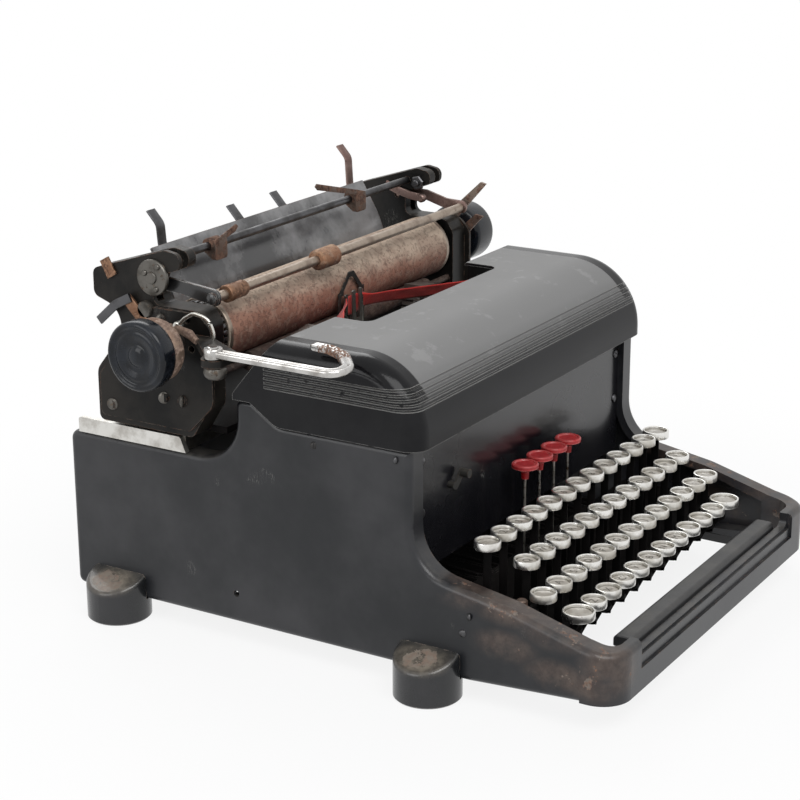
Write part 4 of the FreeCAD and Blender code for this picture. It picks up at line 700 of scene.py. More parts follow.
@dataclass(frozen=True)
class Ink(Finish):
    """The printed figures of the keys."""

    colour: Colour = (0.03, 0.025, 0.02)

    def build(self) -> bpy.types.Material:
        """Builds the material.

        Returns:
            The material.
        """
        s = Surface(self.name)
        faded = s.effect(Effect.MOTTLE, Scale=600.0)
        s.set(Base_Color=s.mix(s.times(faded, 0.4), self.colour, (0.16, 0.13, 0.1)), Roughness=0.5)
        s.bump(faded, 0.00001)
        return s.material


ARM_TOP = tuple(((side * 0.138, y, z), (0.022, 0.030, 0.013))
                for side in (-1, 1) for y, z in ((-0.150, 0.054), (-0.120, 0.062), (-0.092, 0.066)))
FRONT_CORNERS = tuple(((side * 0.136, -0.180, 0.040), (0.026, 0.022, 0.024)) for side in (-1, 1))
SIDE_SPOTS = tuple(((side * 0.145, y, z), (0.010, 0.026, 0.012))
                   for side in (-1, 1) for y, z in ((-0.118, 0.040), (-0.150, 0.030), (-0.176, 0.028)))
FOOT_TOPS = tuple(((side * 0.157, y, 0.026), (0.018, 0.022, 0.010)) for side in (-1, 1)
                  for y in (-0.0705, 0.1525))

ENAMEL = Paint("body_enamel", colour=(0.003, 0.004, 0.006), cloud_and_sheen_colour=(0.027, 0.027, 0.030),
               cloud_scale=8.0, coat=0.14, specular=0.38, scuffs=0.1, flakes=0.07,
               zones=ARM_TOP + FRONT_CORNERS + SIDE_SPOTS)
# On the cover the even pale coat of its upward faces is painted sheen over a little real dusting, and its
# pale edge colour paints highlights along the groove ridges.
COVER_PAINT = Paint("cover_crackle", colour=(0.004, 0.004, 0.005), cloud_and_sheen_colour=(0.009, 0.009, 0.010),
                    roughness=0.36, roughness_spread=0.06, coat=0.03, specular=0.17, grain_scale=1300.0,
                    grain_depth=0.00004, scuffs=0.08, flakes=0.03, dust_and_sheen=0.78, dust_and_sheen_evenness=0.8,
                    dust_and_sheen_colour=(0.335, 0.333, 0.33), metal_and_highlight_colour=(0.26, 0.26, 0.25), rusty=0.1, edges=0.9,
                    gloss_x=0.1265, gloss_z=0.166)
PANEL_PAINT = Paint("panel_enamel", colour=(0.006, 0.006, 0.008), cloud_and_sheen_colour=(0.012, 0.012, 0.014),
                    roughness=0.2, cloud_scale=9.0, specular=0.27, scuffs=0.14, flakes=0.07, dust_and_sheen=0.1)
FOOT_PAINT = Paint("foot_enamel", colour=(0.009, 0.010, 0.011), cloud_and_sheen_colour=(0.016, 0.016, 0.018),
                   roughness=0.2, coat=0.3, edges=0.6, rusty=0.35, metal_and_highlight_colour=(0.20, 0.17, 0.14),
                   zones=FOOT_TOPS, zone_wear=0.8, worn_colour=(0.10, 0.085, 0.068),
                   stain_colour=(0.22, 0.19, 0.15))
SATIN_BLACK = Paint("satin_black", colour=(0.008, 0.008, 0.008), cloud_and_sheen_colour=(0.020, 0.019, 0.017),
                    roughness=0.42, specular=0.3, coat=0.0, grain_depth=0.00003, edges=0.5, flakes=0.10,
                    dust_and_sheen=0.2)
GRIMY_BLACK = Paint("grimy_black", colour=(0.003, 0.003, 0.003), cloud_and_sheen_colour=(0.017, 0.015, 0.013),
                    roughness=0.34, specular=0.15, coat=0.04, edges=0.7, flakes=0.16, dust_and_sheen=0.40,
                    dust_and_sheen_colour=(0.11, 0.095, 0.08), grain_depth=0.00007)
# The pale grey clouds on the black paper table are a painted sheen.
TABLE_PAINT = Paint("table_black", colour=(0.035, 0.035, 0.037), cloud_and_sheen_colour=(0.27, 0.27, 0.275),
                    roughness=0.24, coat=0.5, edges=0.9, flakes=0.14, dust_and_sheen=0.3,
                    dust_and_sheen_colour=(0.20, 0.19, 0.18))
LEVER_BLACK = Paint("lever_black", colour=(0.003, 0.003, 0.003), cloud_and_sheen_colour=(0.008, 0.007, 0.007),
                    roughness=0.62, specular=0.05, coat=0.0, edges=0.15, flakes=0.04, dust_and_sheen=0.02)
BAR_PAINT = Paint("bar_black", colour=(0.008, 0.008, 0.009), cloud_and_sheen_colour=(0.016, 0.016, 0.017),
                  roughness=0.33, coat=0.1, edges=0.3, flakes=0.03, dust_and_sheen=0.12)
NICKEL = Metal("bright_nickel", colour=(0.62, 0.61, 0.57), tarnish_colour=(0.36, 0.33, 0.28), roughness=0.24,
               rust=0.14)
KEY_NICKEL = Metal("key_nickel", colour=(0.78, 0.77, 0.74), tarnish_colour=(0.34, 0.31, 0.25), roughness=0.27,
                   tarnish=0.6, rust=0.26, rust_scale=420.0)
TRIM_NICKEL = Metal("trim_nickel", colour=(0.66, 0.65, 0.62), tarnish_colour=(0.34, 0.32, 0.29),
                    roughness=0.34, tarnish=0.8, rust=0.22, lay=Lay.ALONG_Y)
LEVER_CHROME = Metal("lever_chrome", colour=(0.54, 0.53, 0.515), tarnish_colour=(0.22, 0.205, 0.185),
                     roughness=0.18, tarnish=0.8, rust=0.17, rust_scale=420.0,
                     zones=(((-0.150, -0.018, 0.196), (0.028, 0.028, 0.02)),))
STEEL = Metal("dull_steel", colour=(0.34, 0.33, 0.31), tarnish_colour=(0.15, 0.13, 0.11), roughness=0.36,
              tarnish=0.7, rust=0.30)
TYPE_STEEL = Metal("type_steel", colour=(0.20, 0.195, 0.185), tarnish_colour=(0.08, 0.07, 0.06),
                   roughness=0.33, tarnish=0.6, rust=0.16, lay=Lay.ALONG_Y)
RUSTY_STEEL = Metal("rusty_steel", colour=(0.30, 0.25, 0.21), tarnish_colour=(0.20, 0.14, 0.11),
                    roughness=0.45, tarnish=0.9, rust=0.62, rust_dark=(0.09, 0.05, 0.038),
                    rust_light=(0.32, 0.21, 0.155))
BROWN_IRON = Metal("brown_iron", colour=(0.16, 0.12, 0.10), tarnish_colour=(0.10, 0.07, 0.055), roughness=0.5,
                   tarnish=0.9, rust=0.75, rust_dark=(0.05, 0.026, 0.020), rust_light=(0.20, 0.115, 0.08))
OLD_NICKEL = Metal("old_nickel", colour=(0.13, 0.123, 0.112), tarnish_colour=(0.055, 0.050, 0.044),
                   roughness=0.40, tarnish=1.0, rust=0.48, rust_scale=260.0, rust_dark=(0.035, 0.024, 0.018),
                   rust_light=(0.15, 0.115, 0.085))
DARK_STEEL = Metal("dark_steel", colour=(0.10, 0.10, 0.105), tarnish_colour=(0.04, 0.038, 0.036),
                   roughness=0.34, tarnish=0.8, rust=0.18, rust_dark=(0.03, 0.02, 0.016),
                   rust_light=(0.13, 0.085, 0.06))
EDGED_BLACK = Paint("edged_black", colour=(0.006, 0.006, 0.007), cloud_and_sheen_colour=(0.018, 0.018, 0.018),
                    roughness=0.2, coat=0.5, metal_and_highlight_colour=(0.42, 0.41, 0.39), edges=1.0, flakes=0.05,
                    dust_and_sheen=0.15)
PINK_RUST = Metal("pink_rust", colour=(0.24, 0.17, 0.15), tarnish_colour=(0.15, 0.09, 0.08), roughness=0.42,
                  tarnish=0.9, rust=0.45, rust_dark=(0.07, 0.040, 0.035), rust_light=(0.26, 0.165, 0.14))
ORANGE_RUST = Metal("orange_rust", colour=(0.24, 0.14, 0.09), tarnish_colour=(0.13, 0.065, 0.04),
                    roughness=0.5, tarnish=0.9, rust=0.7, rust_dark=(0.055, 0.026, 0.016),
                    rust_light=(0.34, 0.19, 0.115))
TAN_WEAR = Metal("tan_wear", colour=(0.30, 0.22, 0.17), tarnish_colour=(0.20, 0.13, 0.10), roughness=0.6,
                 tarnish=0.9, rust=0.7, rust_dark=(0.13, 0.085, 0.065), rust_light=(0.40, 0.29, 0.23))
BAIL_STEEL = Metal("bail_steel", colour=(0.36, 0.30, 0.245), tarnish_colour=(0.20, 0.155, 0.125),
                   roughness=0.40, tarnish=0.9, rust=0.42, rust_scale=60.0, rust_dark=(0.10, 0.065, 0.05),
                   rust_light=(0.24, 0.17, 0.135), lay=Lay.ALONG_X)
BRASS = Metal("bell_brass", colour=(0.56, 0.42, 0.18), tarnish_colour=(0.25, 0.17, 0.08), roughness=0.3,
              rust=0.05)
# The three rubbers are pale above and dark below: painted light and painted shade.
PLATEN_RUBBER = OldRubber("aged_rubber")
ROLLER_RUBBER = OldRubber("roller_rubber", low_z=0.204, high_z=0.222, dark=(0.10, 0.05, 0.03),
                          middle=(0.30, 0.15, 0.08), light=(0.42, 0.26, 0.16))
FEED_RUBBER = OldRubber("feed_rubber", low_z=0.150, high_z=0.190, dark=(0.02, 0.012, 0.010),
                        middle=(0.045, 0.027, 0.020), light=(0.09, 0.06, 0.048), clouding=0.12)
RESIN = Moulded("knob_resin")
KEY_PAPER = KeyPaper("key_paper")
RED_CAP = CapAndWire("red_cap")
RIBBON_CLOTH = InkedCloth("inked_ribbon")
LEGEND_INK = Ink("legend_ink")


# ---- meshes ------------------------------------------------------------------------------
def link(name: str, data: bpy.types.ID) -> bpy.types.Object:
    """Makes an object and puts it in the scene.

    Args:
        name: its name.
        data: its mesh, text, lamp or camera.

    Returns:
        The object.
    """
    made = bpy.data.objects.new(name, data)
    bpy.context.scene.collection.objects.link(made)
    return made


class Shaper:
    """Collects faces in millimetres and turns them into one clean mesh object."""

    def __init__(self, name: str) -> None:
        """Starts an empty piece.

        Args:
            name: the piece's name.
        """
        self.name = name
        self.bm = bmesh.new()

    def faces(self, points: Sequence[Sequence[float]], faces: Iterable[Sequence[int]]) -> None:
        """Adds points and the faces between them.

        Args:
            points: places in millimetres.
            faces: the points' numbers, in order round each face.
        """
        made = [self.bm.verts.new(Vector(p) * MM) for p in points]
        for face in faces:
            self.bm.faces.new([made[i] for i in face])

    def lathe(self, profile: Sequence[Flat], centre: Point, axis: Point, steps: int = 48) -> None:
        """Turns a profile about an axis.

        Args:
            profile: (radius, height) from one end to the other, with radius 0 at a closed end.
            centre: the place of height 0.
            axis: the way that height grows.
            steps: faces round the axis.
        """
        along = Vector(axis).normalized()
        side = along.orthogonal().normalized()
        other = along.cross(side)
        base = Vector(centre)
        rings = []
        for radius, height in profile:
            spot = base + along * height
            if radius < 1e-6:
                rings.append([self.bm.verts.new(spot * MM)])
                continue
            rings.append([self.bm.verts.new((spot + (side * math.cos(a) + other * math.sin(a)) * radius) * MM)
                          for a in (2 * math.pi * i / steps for i in range(steps))])
        for low, high in zip(rings, rings[1:]):
            for i in range(steps):
                j = (i + 1) % steps
                ring = [low[i % len(low)], low[j % len(low)], high[j % len(high)], high[i % len(high)]]
                corners = list(dict.fromkeys(ring))
                if len(corners) > 2:
                    self.bm.faces.new(corners)

    def plate(self, outline: Sequence[Flat], axis: str, low: float, high: float, edge: float = 0.0) -> None:
        """Raises a flat outline into a plate.

        Args:
            outline: its corners, as (y, z) for axis X, (x, z) for Y and (x, y) for Z.
            axis: the letter of the axis that it is raised along.
            low: where it starts on that axis.
            high: where it ends.
            edge: the width of a bevel on all its edges.
        """
        place = {"X": lambda p, h: (h, p[0], p[1]), "Y": lambda p, h: (p[0], h, p[1]),
                 "Z": lambda p, h: (p[0], p[1], h)}[axis]
        count = len(outline)
        points = [place(p, low) for p in outline] + [place(p, high) for p in outline]
        known = set(self.bm.edges)
        self.faces(points, [range(count), range(count, 2 * count)] + [
            (i, (i + 1) % count, count + (i + 1) % count, count + i) for i in range(count)])
        if edge > 0:
            edges = [e for e in self.bm.edges if e not in known]
            bmesh.ops.bevel(self.bm, geom=edges, offset=edge * MM, segments=2, profile=0.5, affect="EDGES")

    def ring_plate(self, outline: Sequence[Flat], hole: Sequence[Flat], low: float, high: float) -> None:
        """Raises a flat outline with one hole into a plate along X.

        Args:
            outline: its outer corners, as (y, z).
            hole: the hole's corners, as (y, z), inside the outline.
            low: where it starts along X.
            high: where it ends.
        """
        middle = (sum(p[0] for p in hole) / len(hole), sum(p[1] for p in hole) / len(hole))

        def angle(point: Flat) -> float:
            """Gives the way from the hole's middle to a corner."""
            return math.atan2(point[1] - middle[1], point[0] - middle[0])

        outer, inner = sorted(outline, key=angle), sorted(hole, key=angle)
        a, b = len(outer), len(inner)
        points = [(x, *p) for x in (low, high) for p in outer + inner]
        faces = []
        i = j = 0
        while i < a or j < b:
            here, there = (i % a), a + (j % b)
            outer_next = angle(outer[i + 1]) if i + 1 < a else math.inf
            inner_next = angle(inner[j + 1]) if j + 1 < b else math.inf
            if j >= b or (i < a and outer_next <= inner_next):
                faces.append((here, (i + 1) % a, there))
                i += 1
            else:
                faces.append((here, a + (j + 1) % b, there))
                j += 1
        sheets = faces + [tuple(v + a + b for v in reversed(f)) for f in faces]
        walls = [(k, (k + 1) % a, a + b + (k + 1) % a, a + b + k) for k in range(a)]
        walls += [(a + k, a + (k + 1) % b, 2 * a + b + (k + 1) % b, 2 * a + b + k) for k in range(b)]
        self.faces(points, sheets + walls)

    def sweep(self, path: Sequence[Point], section: Sequence[Flat], up: Point = (0, 0, 1),
              scales: Optional[Sequence[float]] = None) -> None:
        """Carries a closed section along a path.

        Args:
            path: the points of the centre line.
            section: the section's corners, (sideways, up).
            up: the way that the section's second number points.
            scales: the section's size at each point of the path.
        """
        points = [Vector(p) for p in path]
        rings = []
        for i, spot in enumerate(points):
            ahead = (points[min(i + 1, len(points) - 1)] - points[max(i - 1, 0)]).normalized()
            side = ahead.cross(Vector(up)).normalized()
            top = side.cross(ahead)
            size = scales[i] if scales else 1.0
            rings.append([self.bm.verts.new((spot + (side * a + top * b) * size) * MM) for a, b in section])
        count = len(section)
        for low, high in zip(rings, rings[1:]):
            for i in range(count):
                self.bm.faces.new([low[i], low[(i + 1) % count], high[(i + 1) % count], high[i]])
        self.bm.faces.new(rings[0])
        self.bm.faces.new(rings[-1])

    def rod(self, start: Point, end: Point, radius: float, steps: int = 20) -> None:
        """Adds a round bar with bevelled ends.

        Args:
            start: the middle of one end.
            end: the middle of the other.
            radius: its radius.
            steps: faces round it.
        """
        length = (Vector(end) - Vector(start)).length
        chamfer = min(radius * 0.3, length * 0.2)
        profile = [(0, 0), (radius - chamfer, 0), (radius, chamfer), (radius, length - chamfer),
                   (radius - chamfer, length), (0, length)]
        self.lathe(profile, start, tuple(Vector(end) - Vector(start)), steps)

    def settle(self) -> None:
        """Puts corners, edges and faces in a fixed order, because a bevel leaves them in a chance one."""
        keys = ((self.bm.verts, lambda corner: tuple(corner.co)),
                (self.bm.edges, lambda edge: sorted(v.index for v in edge.verts)),
                (self.bm.faces, lambda face: sorted(v.index for v in face.verts)))
        for items, key in keys:
            places = {item: i for i, item in enumerate(sorted(items, key=key))}
            items.sort(key=places.get)
            items.index_update()

    def finish(self, finish: Finish, body: str, smooth: float = 35.0) -> bpy.types.Object:
        """Makes the object, dresses it and sets it on its body.

        Args:
            finish: its finish.
            body: the body that it rides on.
            smooth: the largest angle between faces that shade as one, in degrees.

        Returns:
            The object.
        """
        bmesh.ops.remove_doubles(self.bm, verts=self.bm.verts, dist=0.000002)
        bmesh.ops.recalc_face_normals(self.bm, faces=self.bm.faces)
        self.settle()
        mesh = bpy.data.meshes.new(self.name)
        self.bm.to_mesh(mesh)
        self.bm.free()
        piece = link(self.name, mesh)
        mesh.materials.append(finish.material())
        mesh.shade_smooth()
        mesh.set_sharp_from_angle(angle=math.radians(smooth))
        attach(piece, body)
        LOG.info("piece %s on %s", self.name, body)
        return piece


def rounded_section(width: float, height: float, radius: float, steps: int = 4) -> list[Flat]:
    """A rectangle with round corners.

    Args:
        width: its full width.
        height: its full height.
        radius: the corners' radius.
        steps: points on each corner.

    Returns:
        The points round the section.
    """
    points = []
    for k, (sx, sy) in enumerate(((1, 1), (-1, 1), (-1, -1), (1, -1))):
        for i in range(steps + 1):
            a = math.radians(90 * k + 90 * i / steps)
            points.append((sx * (width / 2 - radius) + radius * math.cos(a),
                           sy * (height / 2 - radius) + radius * math.sin(a)))
    return points


def bent_line(corners: Sequence[tuple[float, float, float]], steps: int = 8) -> list[Flat]:
    """Rounds the inner corners of an open line with true arcs.

    Args:
        corners: (a, b, radius) of each corner; the two ends have no radius.
        steps: spans on each arc.

    Returns:
        The points along the line.
    """
    spots = [Vector(c[:2]) for c in corners]
    points: list[Flat] = [tuple(spots[0])]
    for back, here, ahead, corner in zip(spots, spots[1:], spots[2:], corners[1:]):
        to_back, to_ahead = (back - here).normalized(), (ahead - here).normalized()
        half = to_back.angle(to_ahead) / 2
        reach = corner[2] / math.tan(half)
        middle = here + (to_back + to_ahead).normalized() * (corner[2] / math.sin(half))
        first = here + to_back * reach - middle
        turn = math.pi - 2 * half
        turn = turn if to_back.cross(to_ahead) < 0 else -turn
        for i in range(steps + 1):
            a = turn * i / steps
            points.append((middle.x + first.x * math.cos(a) - first.y * math.sin(a),
                           middle.y + first.x * math.sin(a) + first.y * math.cos(a)))
    points.append(tuple(spots[-1]))
    return points


def smooth_outline(corners: Sequence[tuple[float, float, float]], steps: int = 5) -> list[Flat]:
    """Rounds the corners of a flat outline.

    Args:
        corners: (a, b, radius) of each corner.
        steps: spans on each round corner.

    Returns:
        The points round the outline.
    """
    points: list[Flat] = []
    count = len(corners)
    for i, (a, b, radius) in enumerate(corners):
        here = Vector((a, b))
        back = Vector(corners[i - 1][:2]) - here
        ahead = Vector(corners[(i + 1) % count][:2]) - here
        if radius <= 0:
            points.append((a, b))
            continue
        half = back.angle(ahead) / 2
        reach = min(radius / math.tan(half), back.length * 0.49, ahead.length * 0.49)
        first, last = here + back.normalized() * reach, here + ahead.normalized() * reach
        for k in range(steps + 1):
            t = k / steps
            spot = first * (1 - t) ** 2 + here * 2 * t * (1 - t) + last * t ** 2
            points.append((spot.x, spot.y))
    return points


# ---- geometry trees ----------------------------------------------------------------------
Ends = tuple[bpy.types.Node, bpy.types.Node]


class Part(Enum):
    """The parts that a geometry tree repeats on points."""

    KEY_RING = "key_ring"
    KEY_FACE = "key_face"
    SLOTTED_SCREW = "slotted_screw"

    def tree(self) -> bpy.types.NodeTree:
        """Gives the part's geometry tree, built on first use."""
        found = bpy.data.node_groups.get(self.value)
        return found or getattr(self, f"_{self.value}")()

    def _start(self, **sizes: float) -> tuple[Tree, list[Wire], Ends]:
        """Makes the tree's sockets: the points, the named sizes and the material.

        Args:
            sizes: the part's own sizes, in metres.

        Returns:
            The tree, its sizes' sockets, and its input and output nodes.
        """
        geometry = "NodeSocketGeometry"
        inputs = [("Points", geometry, None), *((name, FLOAT, value) for name, value in sizes.items()),
                  ("Finish", "NodeSocketMaterial", None)]
        tree, enter, leave = new_tree(self.value, "GeometryNodeTree", inputs, [("Mesh", geometry, None)])
        return tree, [enter.outputs[name] for name in sizes], (enter, leave)

    @staticmethod
    def _repeat(tree: Tree, ends: Ends, part: Wire) -> bpy.types.NodeTree:
        """Puts the part on every point at its own turn and size.

        Args:
            tree: the tree that made the part.
            ends: its input and output nodes.
            part: the part's socket.

        Returns:
            The whole tree.
        """
        enter, leave = ends
        turn = tree.add("GeometryNodeInputNamedAttribute", {"Name": "turn"}, data_type="FLOAT_VECTOR")
        spin = tree.add("FunctionNodeEulerToRotation", {0: turn.outputs[0]})
        size = tree.add("GeometryNodeInputNamedAttribute", {"Name": "size"}, data_type="FLOAT_VECTOR")
        smooth = tree.add("GeometryNodeSetShadeSmooth", {0: part})
        spread = tree.add("GeometryNodeInstanceOnPoints",
                          {"Points": enter.outputs["Points"], "Instance": smooth.outputs[0],
                           "Rotation": spin.outputs[0], "Scale": size.outputs[0]})
        real = tree.add("GeometryNodeRealizeInstances", {0: spread.outputs[0]})
        dress = tree.add("GeometryNodeSetMaterial",
                         {"Geometry": real.outputs[0], "Material": enter.outputs["Finish"]})
        tree.feed(leave.inputs[0], dress.outputs[0])
        return tree.tree

    def _key_ring(self) -> bpy.types.NodeTree:
        """A plated ring with round edges and a floor.

        Returns:
            The node group.
        """
        tree, (radius, wall, height), ends = self._start(Radius=0.00775, Wall=0.0012, Height=0.005)
        middle = tree.minus(radius, tree.times(wall, 0.5))
        circle = tree.add("GeometryNodeCurvePrimitiveCircle", {"Resolution": 36, "Radius": middle})
        section = tree.add("GeometryNodeCurvePrimitiveQuadrilateral", {0: wall, 1: height})
        soft = tree.add("GeometryNodeFilletCurve", {"Curve": section.outputs[0], "Count": 2,
                                                    "Radius": tree.times(wall, 0.42)}, mode="POLY")
        ring = tree.add("GeometryNodeCurveToMesh", {0: circle.outputs[0], 1: soft.outputs[0]})
        drop = tree.add("ShaderNodeCombineXYZ", {2: tree.times(height, -0.5)})
        low = tree.add("GeometryNodeTransform", {"Geometry": ring.outputs[0], "Translation": drop.outputs[0]})
        floor = tree.add("GeometryNodeMeshCylinder", {"Vertices": 36, "Radius": middle, "Depth": 0.0016})
        sink = tree.add("ShaderNodeCombineXYZ", {2: tree.minus(0.001, height)})
        base = tree.add("GeometryNodeTransform",
                        {"Geometry": floor.outputs[0], "Translation": sink.outputs[0]})
        both = tree.add("GeometryNodeJoinGeometry", {0: low.outputs[0]})
        tree.feed(both.inputs[0], base.outputs[0])
        return self._repeat(tree, ends, both.outputs[0])

    def _key_face(self) -> bpy.types.NodeTree:
        """The clear domed face over the key's paper.

        Returns:
            The node group.
        """
        tree, (radius, dome, depth), ends = self._start(Radius=0.0066, Dome=0.0006, Depth=0.0009)
        ball = tree.add("GeometryNodeMeshUVSphere", {"Segments": 30, "Rings": 12, "Radius": radius})
        squeeze = tree.add("ShaderNodeCombineXYZ", {0: 1.0, 1: 1.0, 2: tree.calc("DIVIDE", dome, radius)})
        sink = tree.add("ShaderNodeCombineXYZ", {2: tree.times(depth, -1.0)})
        lens = tree.add("GeometryNodeTransform", {"Geometry": ball.outputs[0], "Translation": sink.outputs[0],
                                                  "Scale": squeeze.outputs[0]})
        return self._repeat(tree, ends, lens.outputs[0])

    def _slotted_screw(self) -> bpy.types.NodeTree:
        """A domed head with a slot across it.

        Returns:
            The node group.
        """
        tree, (radius, height, slot), ends = self._start(Radius=0.003, Height=0.0016, Slot=0.0007)
        ball = tree.add("GeometryNodeMeshUVSphere", {"Segments": 24, "Rings": 12, "Radius": radius})
        squeeze = tree.add("ShaderNodeCombineXYZ", {0: 1.0, 1: 1.0, 2: tree.calc("DIVIDE", height, radius)})
        dome = tree.add("GeometryNodeTransform", {"Geometry": ball.outputs[0], "Scale": squeeze.outputs[0]})
        size = tree.add("ShaderNodeCombineXYZ", {0: tree.times(radius, 2.4), 1: slot, 2: height})
        bar = tree.add("GeometryNodeMeshCube", {"Size": size.outputs[0]})
        lift = tree.add("ShaderNodeCombineXYZ", {2: tree.times(height, 0.95)})
        cutter = tree.add("GeometryNodeTransform",
                          {"Geometry": bar.outputs[0], "Translation": lift.outputs[0]})
        cut = tree.add("GeometryNodeMeshBoolean", {"Mesh 1": dome.outputs[0], "Mesh 2": cutter.outputs[0]},
                       operation="DIFFERENCE", solver="EXACT")
        return self._repeat(tree, ends, cut.outputs[0])


@dataclass
class Spot:
    """Where a repeated part stands: its place in millimetres, its turn and its size."""

    place: Point
    turn: Point = (0.0, 0.0, 0.0)
    size: Point = (1.0, 1.0, 1.0)


def repeat(name: str, part: Part, spots: Sequence[Spot], finish: Finish, body: str,
           **sizes: float) -> bpy.types.Object:
    """Runs a part's geometry tree over the spots and keeps the plain mesh.

    Args:
        name: the piece's name.
        part: which part to repeat.
        spots: where.
        finish: its finish.
        body: the body that it rides on.
        sizes: the tree's named sizes, in millimetres.

    Returns:
        The finished piece.
    """
    mesh = bpy.data.meshes.new(name + "_points")
    mesh.from_pydata([tuple(Vector(s.place) * MM) for s in spots], [], [])
    for label in ("turn", "size"):
        layer = mesh.attributes.new(label, "FLOAT_VECTOR", "POINT")
        layer.data.foreach_set("vector", [c for s in spots for c in getattr(s, label)])
    piece = link(name, mesh)
    modifier = piece.modifiers.new(part.value, "NODES")
    modifier.node_group = part.tree()
    for item in modifier.node_group.interface.items_tree:
        if item.item_type == "SOCKET" and item.in_out == "INPUT":
            if item.name in sizes:
                modifier[item.identifier] = sizes[item.name] * MM
            elif item.name == "Finish":
                modifier[item.identifier] = finish.material()
    graph = bpy.context.evaluated_depsgraph_get()
    made = bpy.data.meshes.new_from_object(piece.evaluated_get(graph), preserve_all_data_layers=True,
                                           depsgraph=graph)
    piece.modifiers.clear()
    piece.data = made
    bpy.data.meshes.remove(mesh)
    made.name = name
    for label in ("turn", "size"):
        if label in made.attributes:
            made.attributes.remove(made.attributes[label])
    made.set_sharp_from_angle(angle=math.radians(40))
    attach(piece, body)
    LOG.info("piece %s on %s, %d of %s", name, body, len(spots), part.value)
    return piece


def dress(finishes: dict[str, Finish]) -> None:
    """Gives CAD nodes their finishes.

    Args:
        finishes: the finish of each node, by the node's name.
    """
    for node, finish in finishes.items():
        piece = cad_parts[node]
        piece.data.materials.clear()
        piece.data.materials.append(finish.material())
        LOG.info("node %s in %s", node, finish.name)


# ---- sub-assemblies ----------------------------------------------------------------------
@dataclass
class Body:
    """The frame, the cover, the front panel, the feet and their screws."""

    half_width: float = 145.0
    panel_y: float = -54.0
    side_screws: tuple[Flat, ...] = ((6, 136), (-49, 137), (-96, 53), (-92, 42))
    side_screw_size: float = 0.75
    panel_screws: tuple[Flat, ...] = ((126, 131), (126, 100))
    lip_x: Flat = (79.2, 80.4)
    lip_y: Flat = (14.0, 32.5)
    lip_z: Flat = (176.0, 190.4)

    def build(self) -> None:
        """Dresses the nodes and makes the screws and the lip."""
        dress({"side_frame_left": ENAMEL, "side_frame_right": ENAMEL, "front_rail": ENAMEL,
               "rear_panel": ENAMEL, "top_cover": COVER_PAINT, "front_panel": PANEL_PAINT,
               "base_frame": SATIN_BLACK, "feet": FOOT_PAINT, "trim_strips": TRIM_NICKEL,
               "carriage_rails": STEEL, "ribbon_selector": SATIN_BLACK})
        self.screws()
        self.opening_lip()

    def opening_lip(self) -> None:
        """The turned-down edge round the sides of the type opening."""
        (y0, y1), (z0, z1) = self.lip_y, self.lip_z
        lip = Shaper("type_opening_lip")
        for side in (-1, 1):
            low, high = sorted(side * x for x in self.lip_x)
            lip.plate([(y0, z0), (y1, z0), (y1, z1), (y0, z1)], "X", low, high, 0.2)
        lip.finish(LEVER_BLACK, "frame")

    def screws(self) -> None:
        """Slotted heads on both sides and on the front panel."""
        small = (self.side_screw_size,) * 3
        spots = []
        for side in (-1, 1):
            for i, (y, z) in enumerate(self.side_screws):
                turn = (0.5 + 0.9 * i, side * QUARTER_TURN, 0.0)
                spots.append(Spot((side * self.half_width, y, z), turn, small))
            for i, (x, z) in enumerate(self.panel_screws):
                spots.append(Spot((side * x, self.panel_y, z), (QUARTER_TURN, 0.6 + 1.1 * i, 0.0)))
        heads = repeat("frame_screw_heads", Part.SLOTTED_SCREW, spots, DARK_STEEL, "frame",
                       Radius=3.0, Height=1.6, Slot=0.7)
        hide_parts("frame_screws")


@dataclass
class KeyRow:
    """One row of keys: its y, its caps' top, its first key's place in pitches and its legends."""

    y: float
    top: float
    first: float
    legends: str


Key = tuple[str, int]


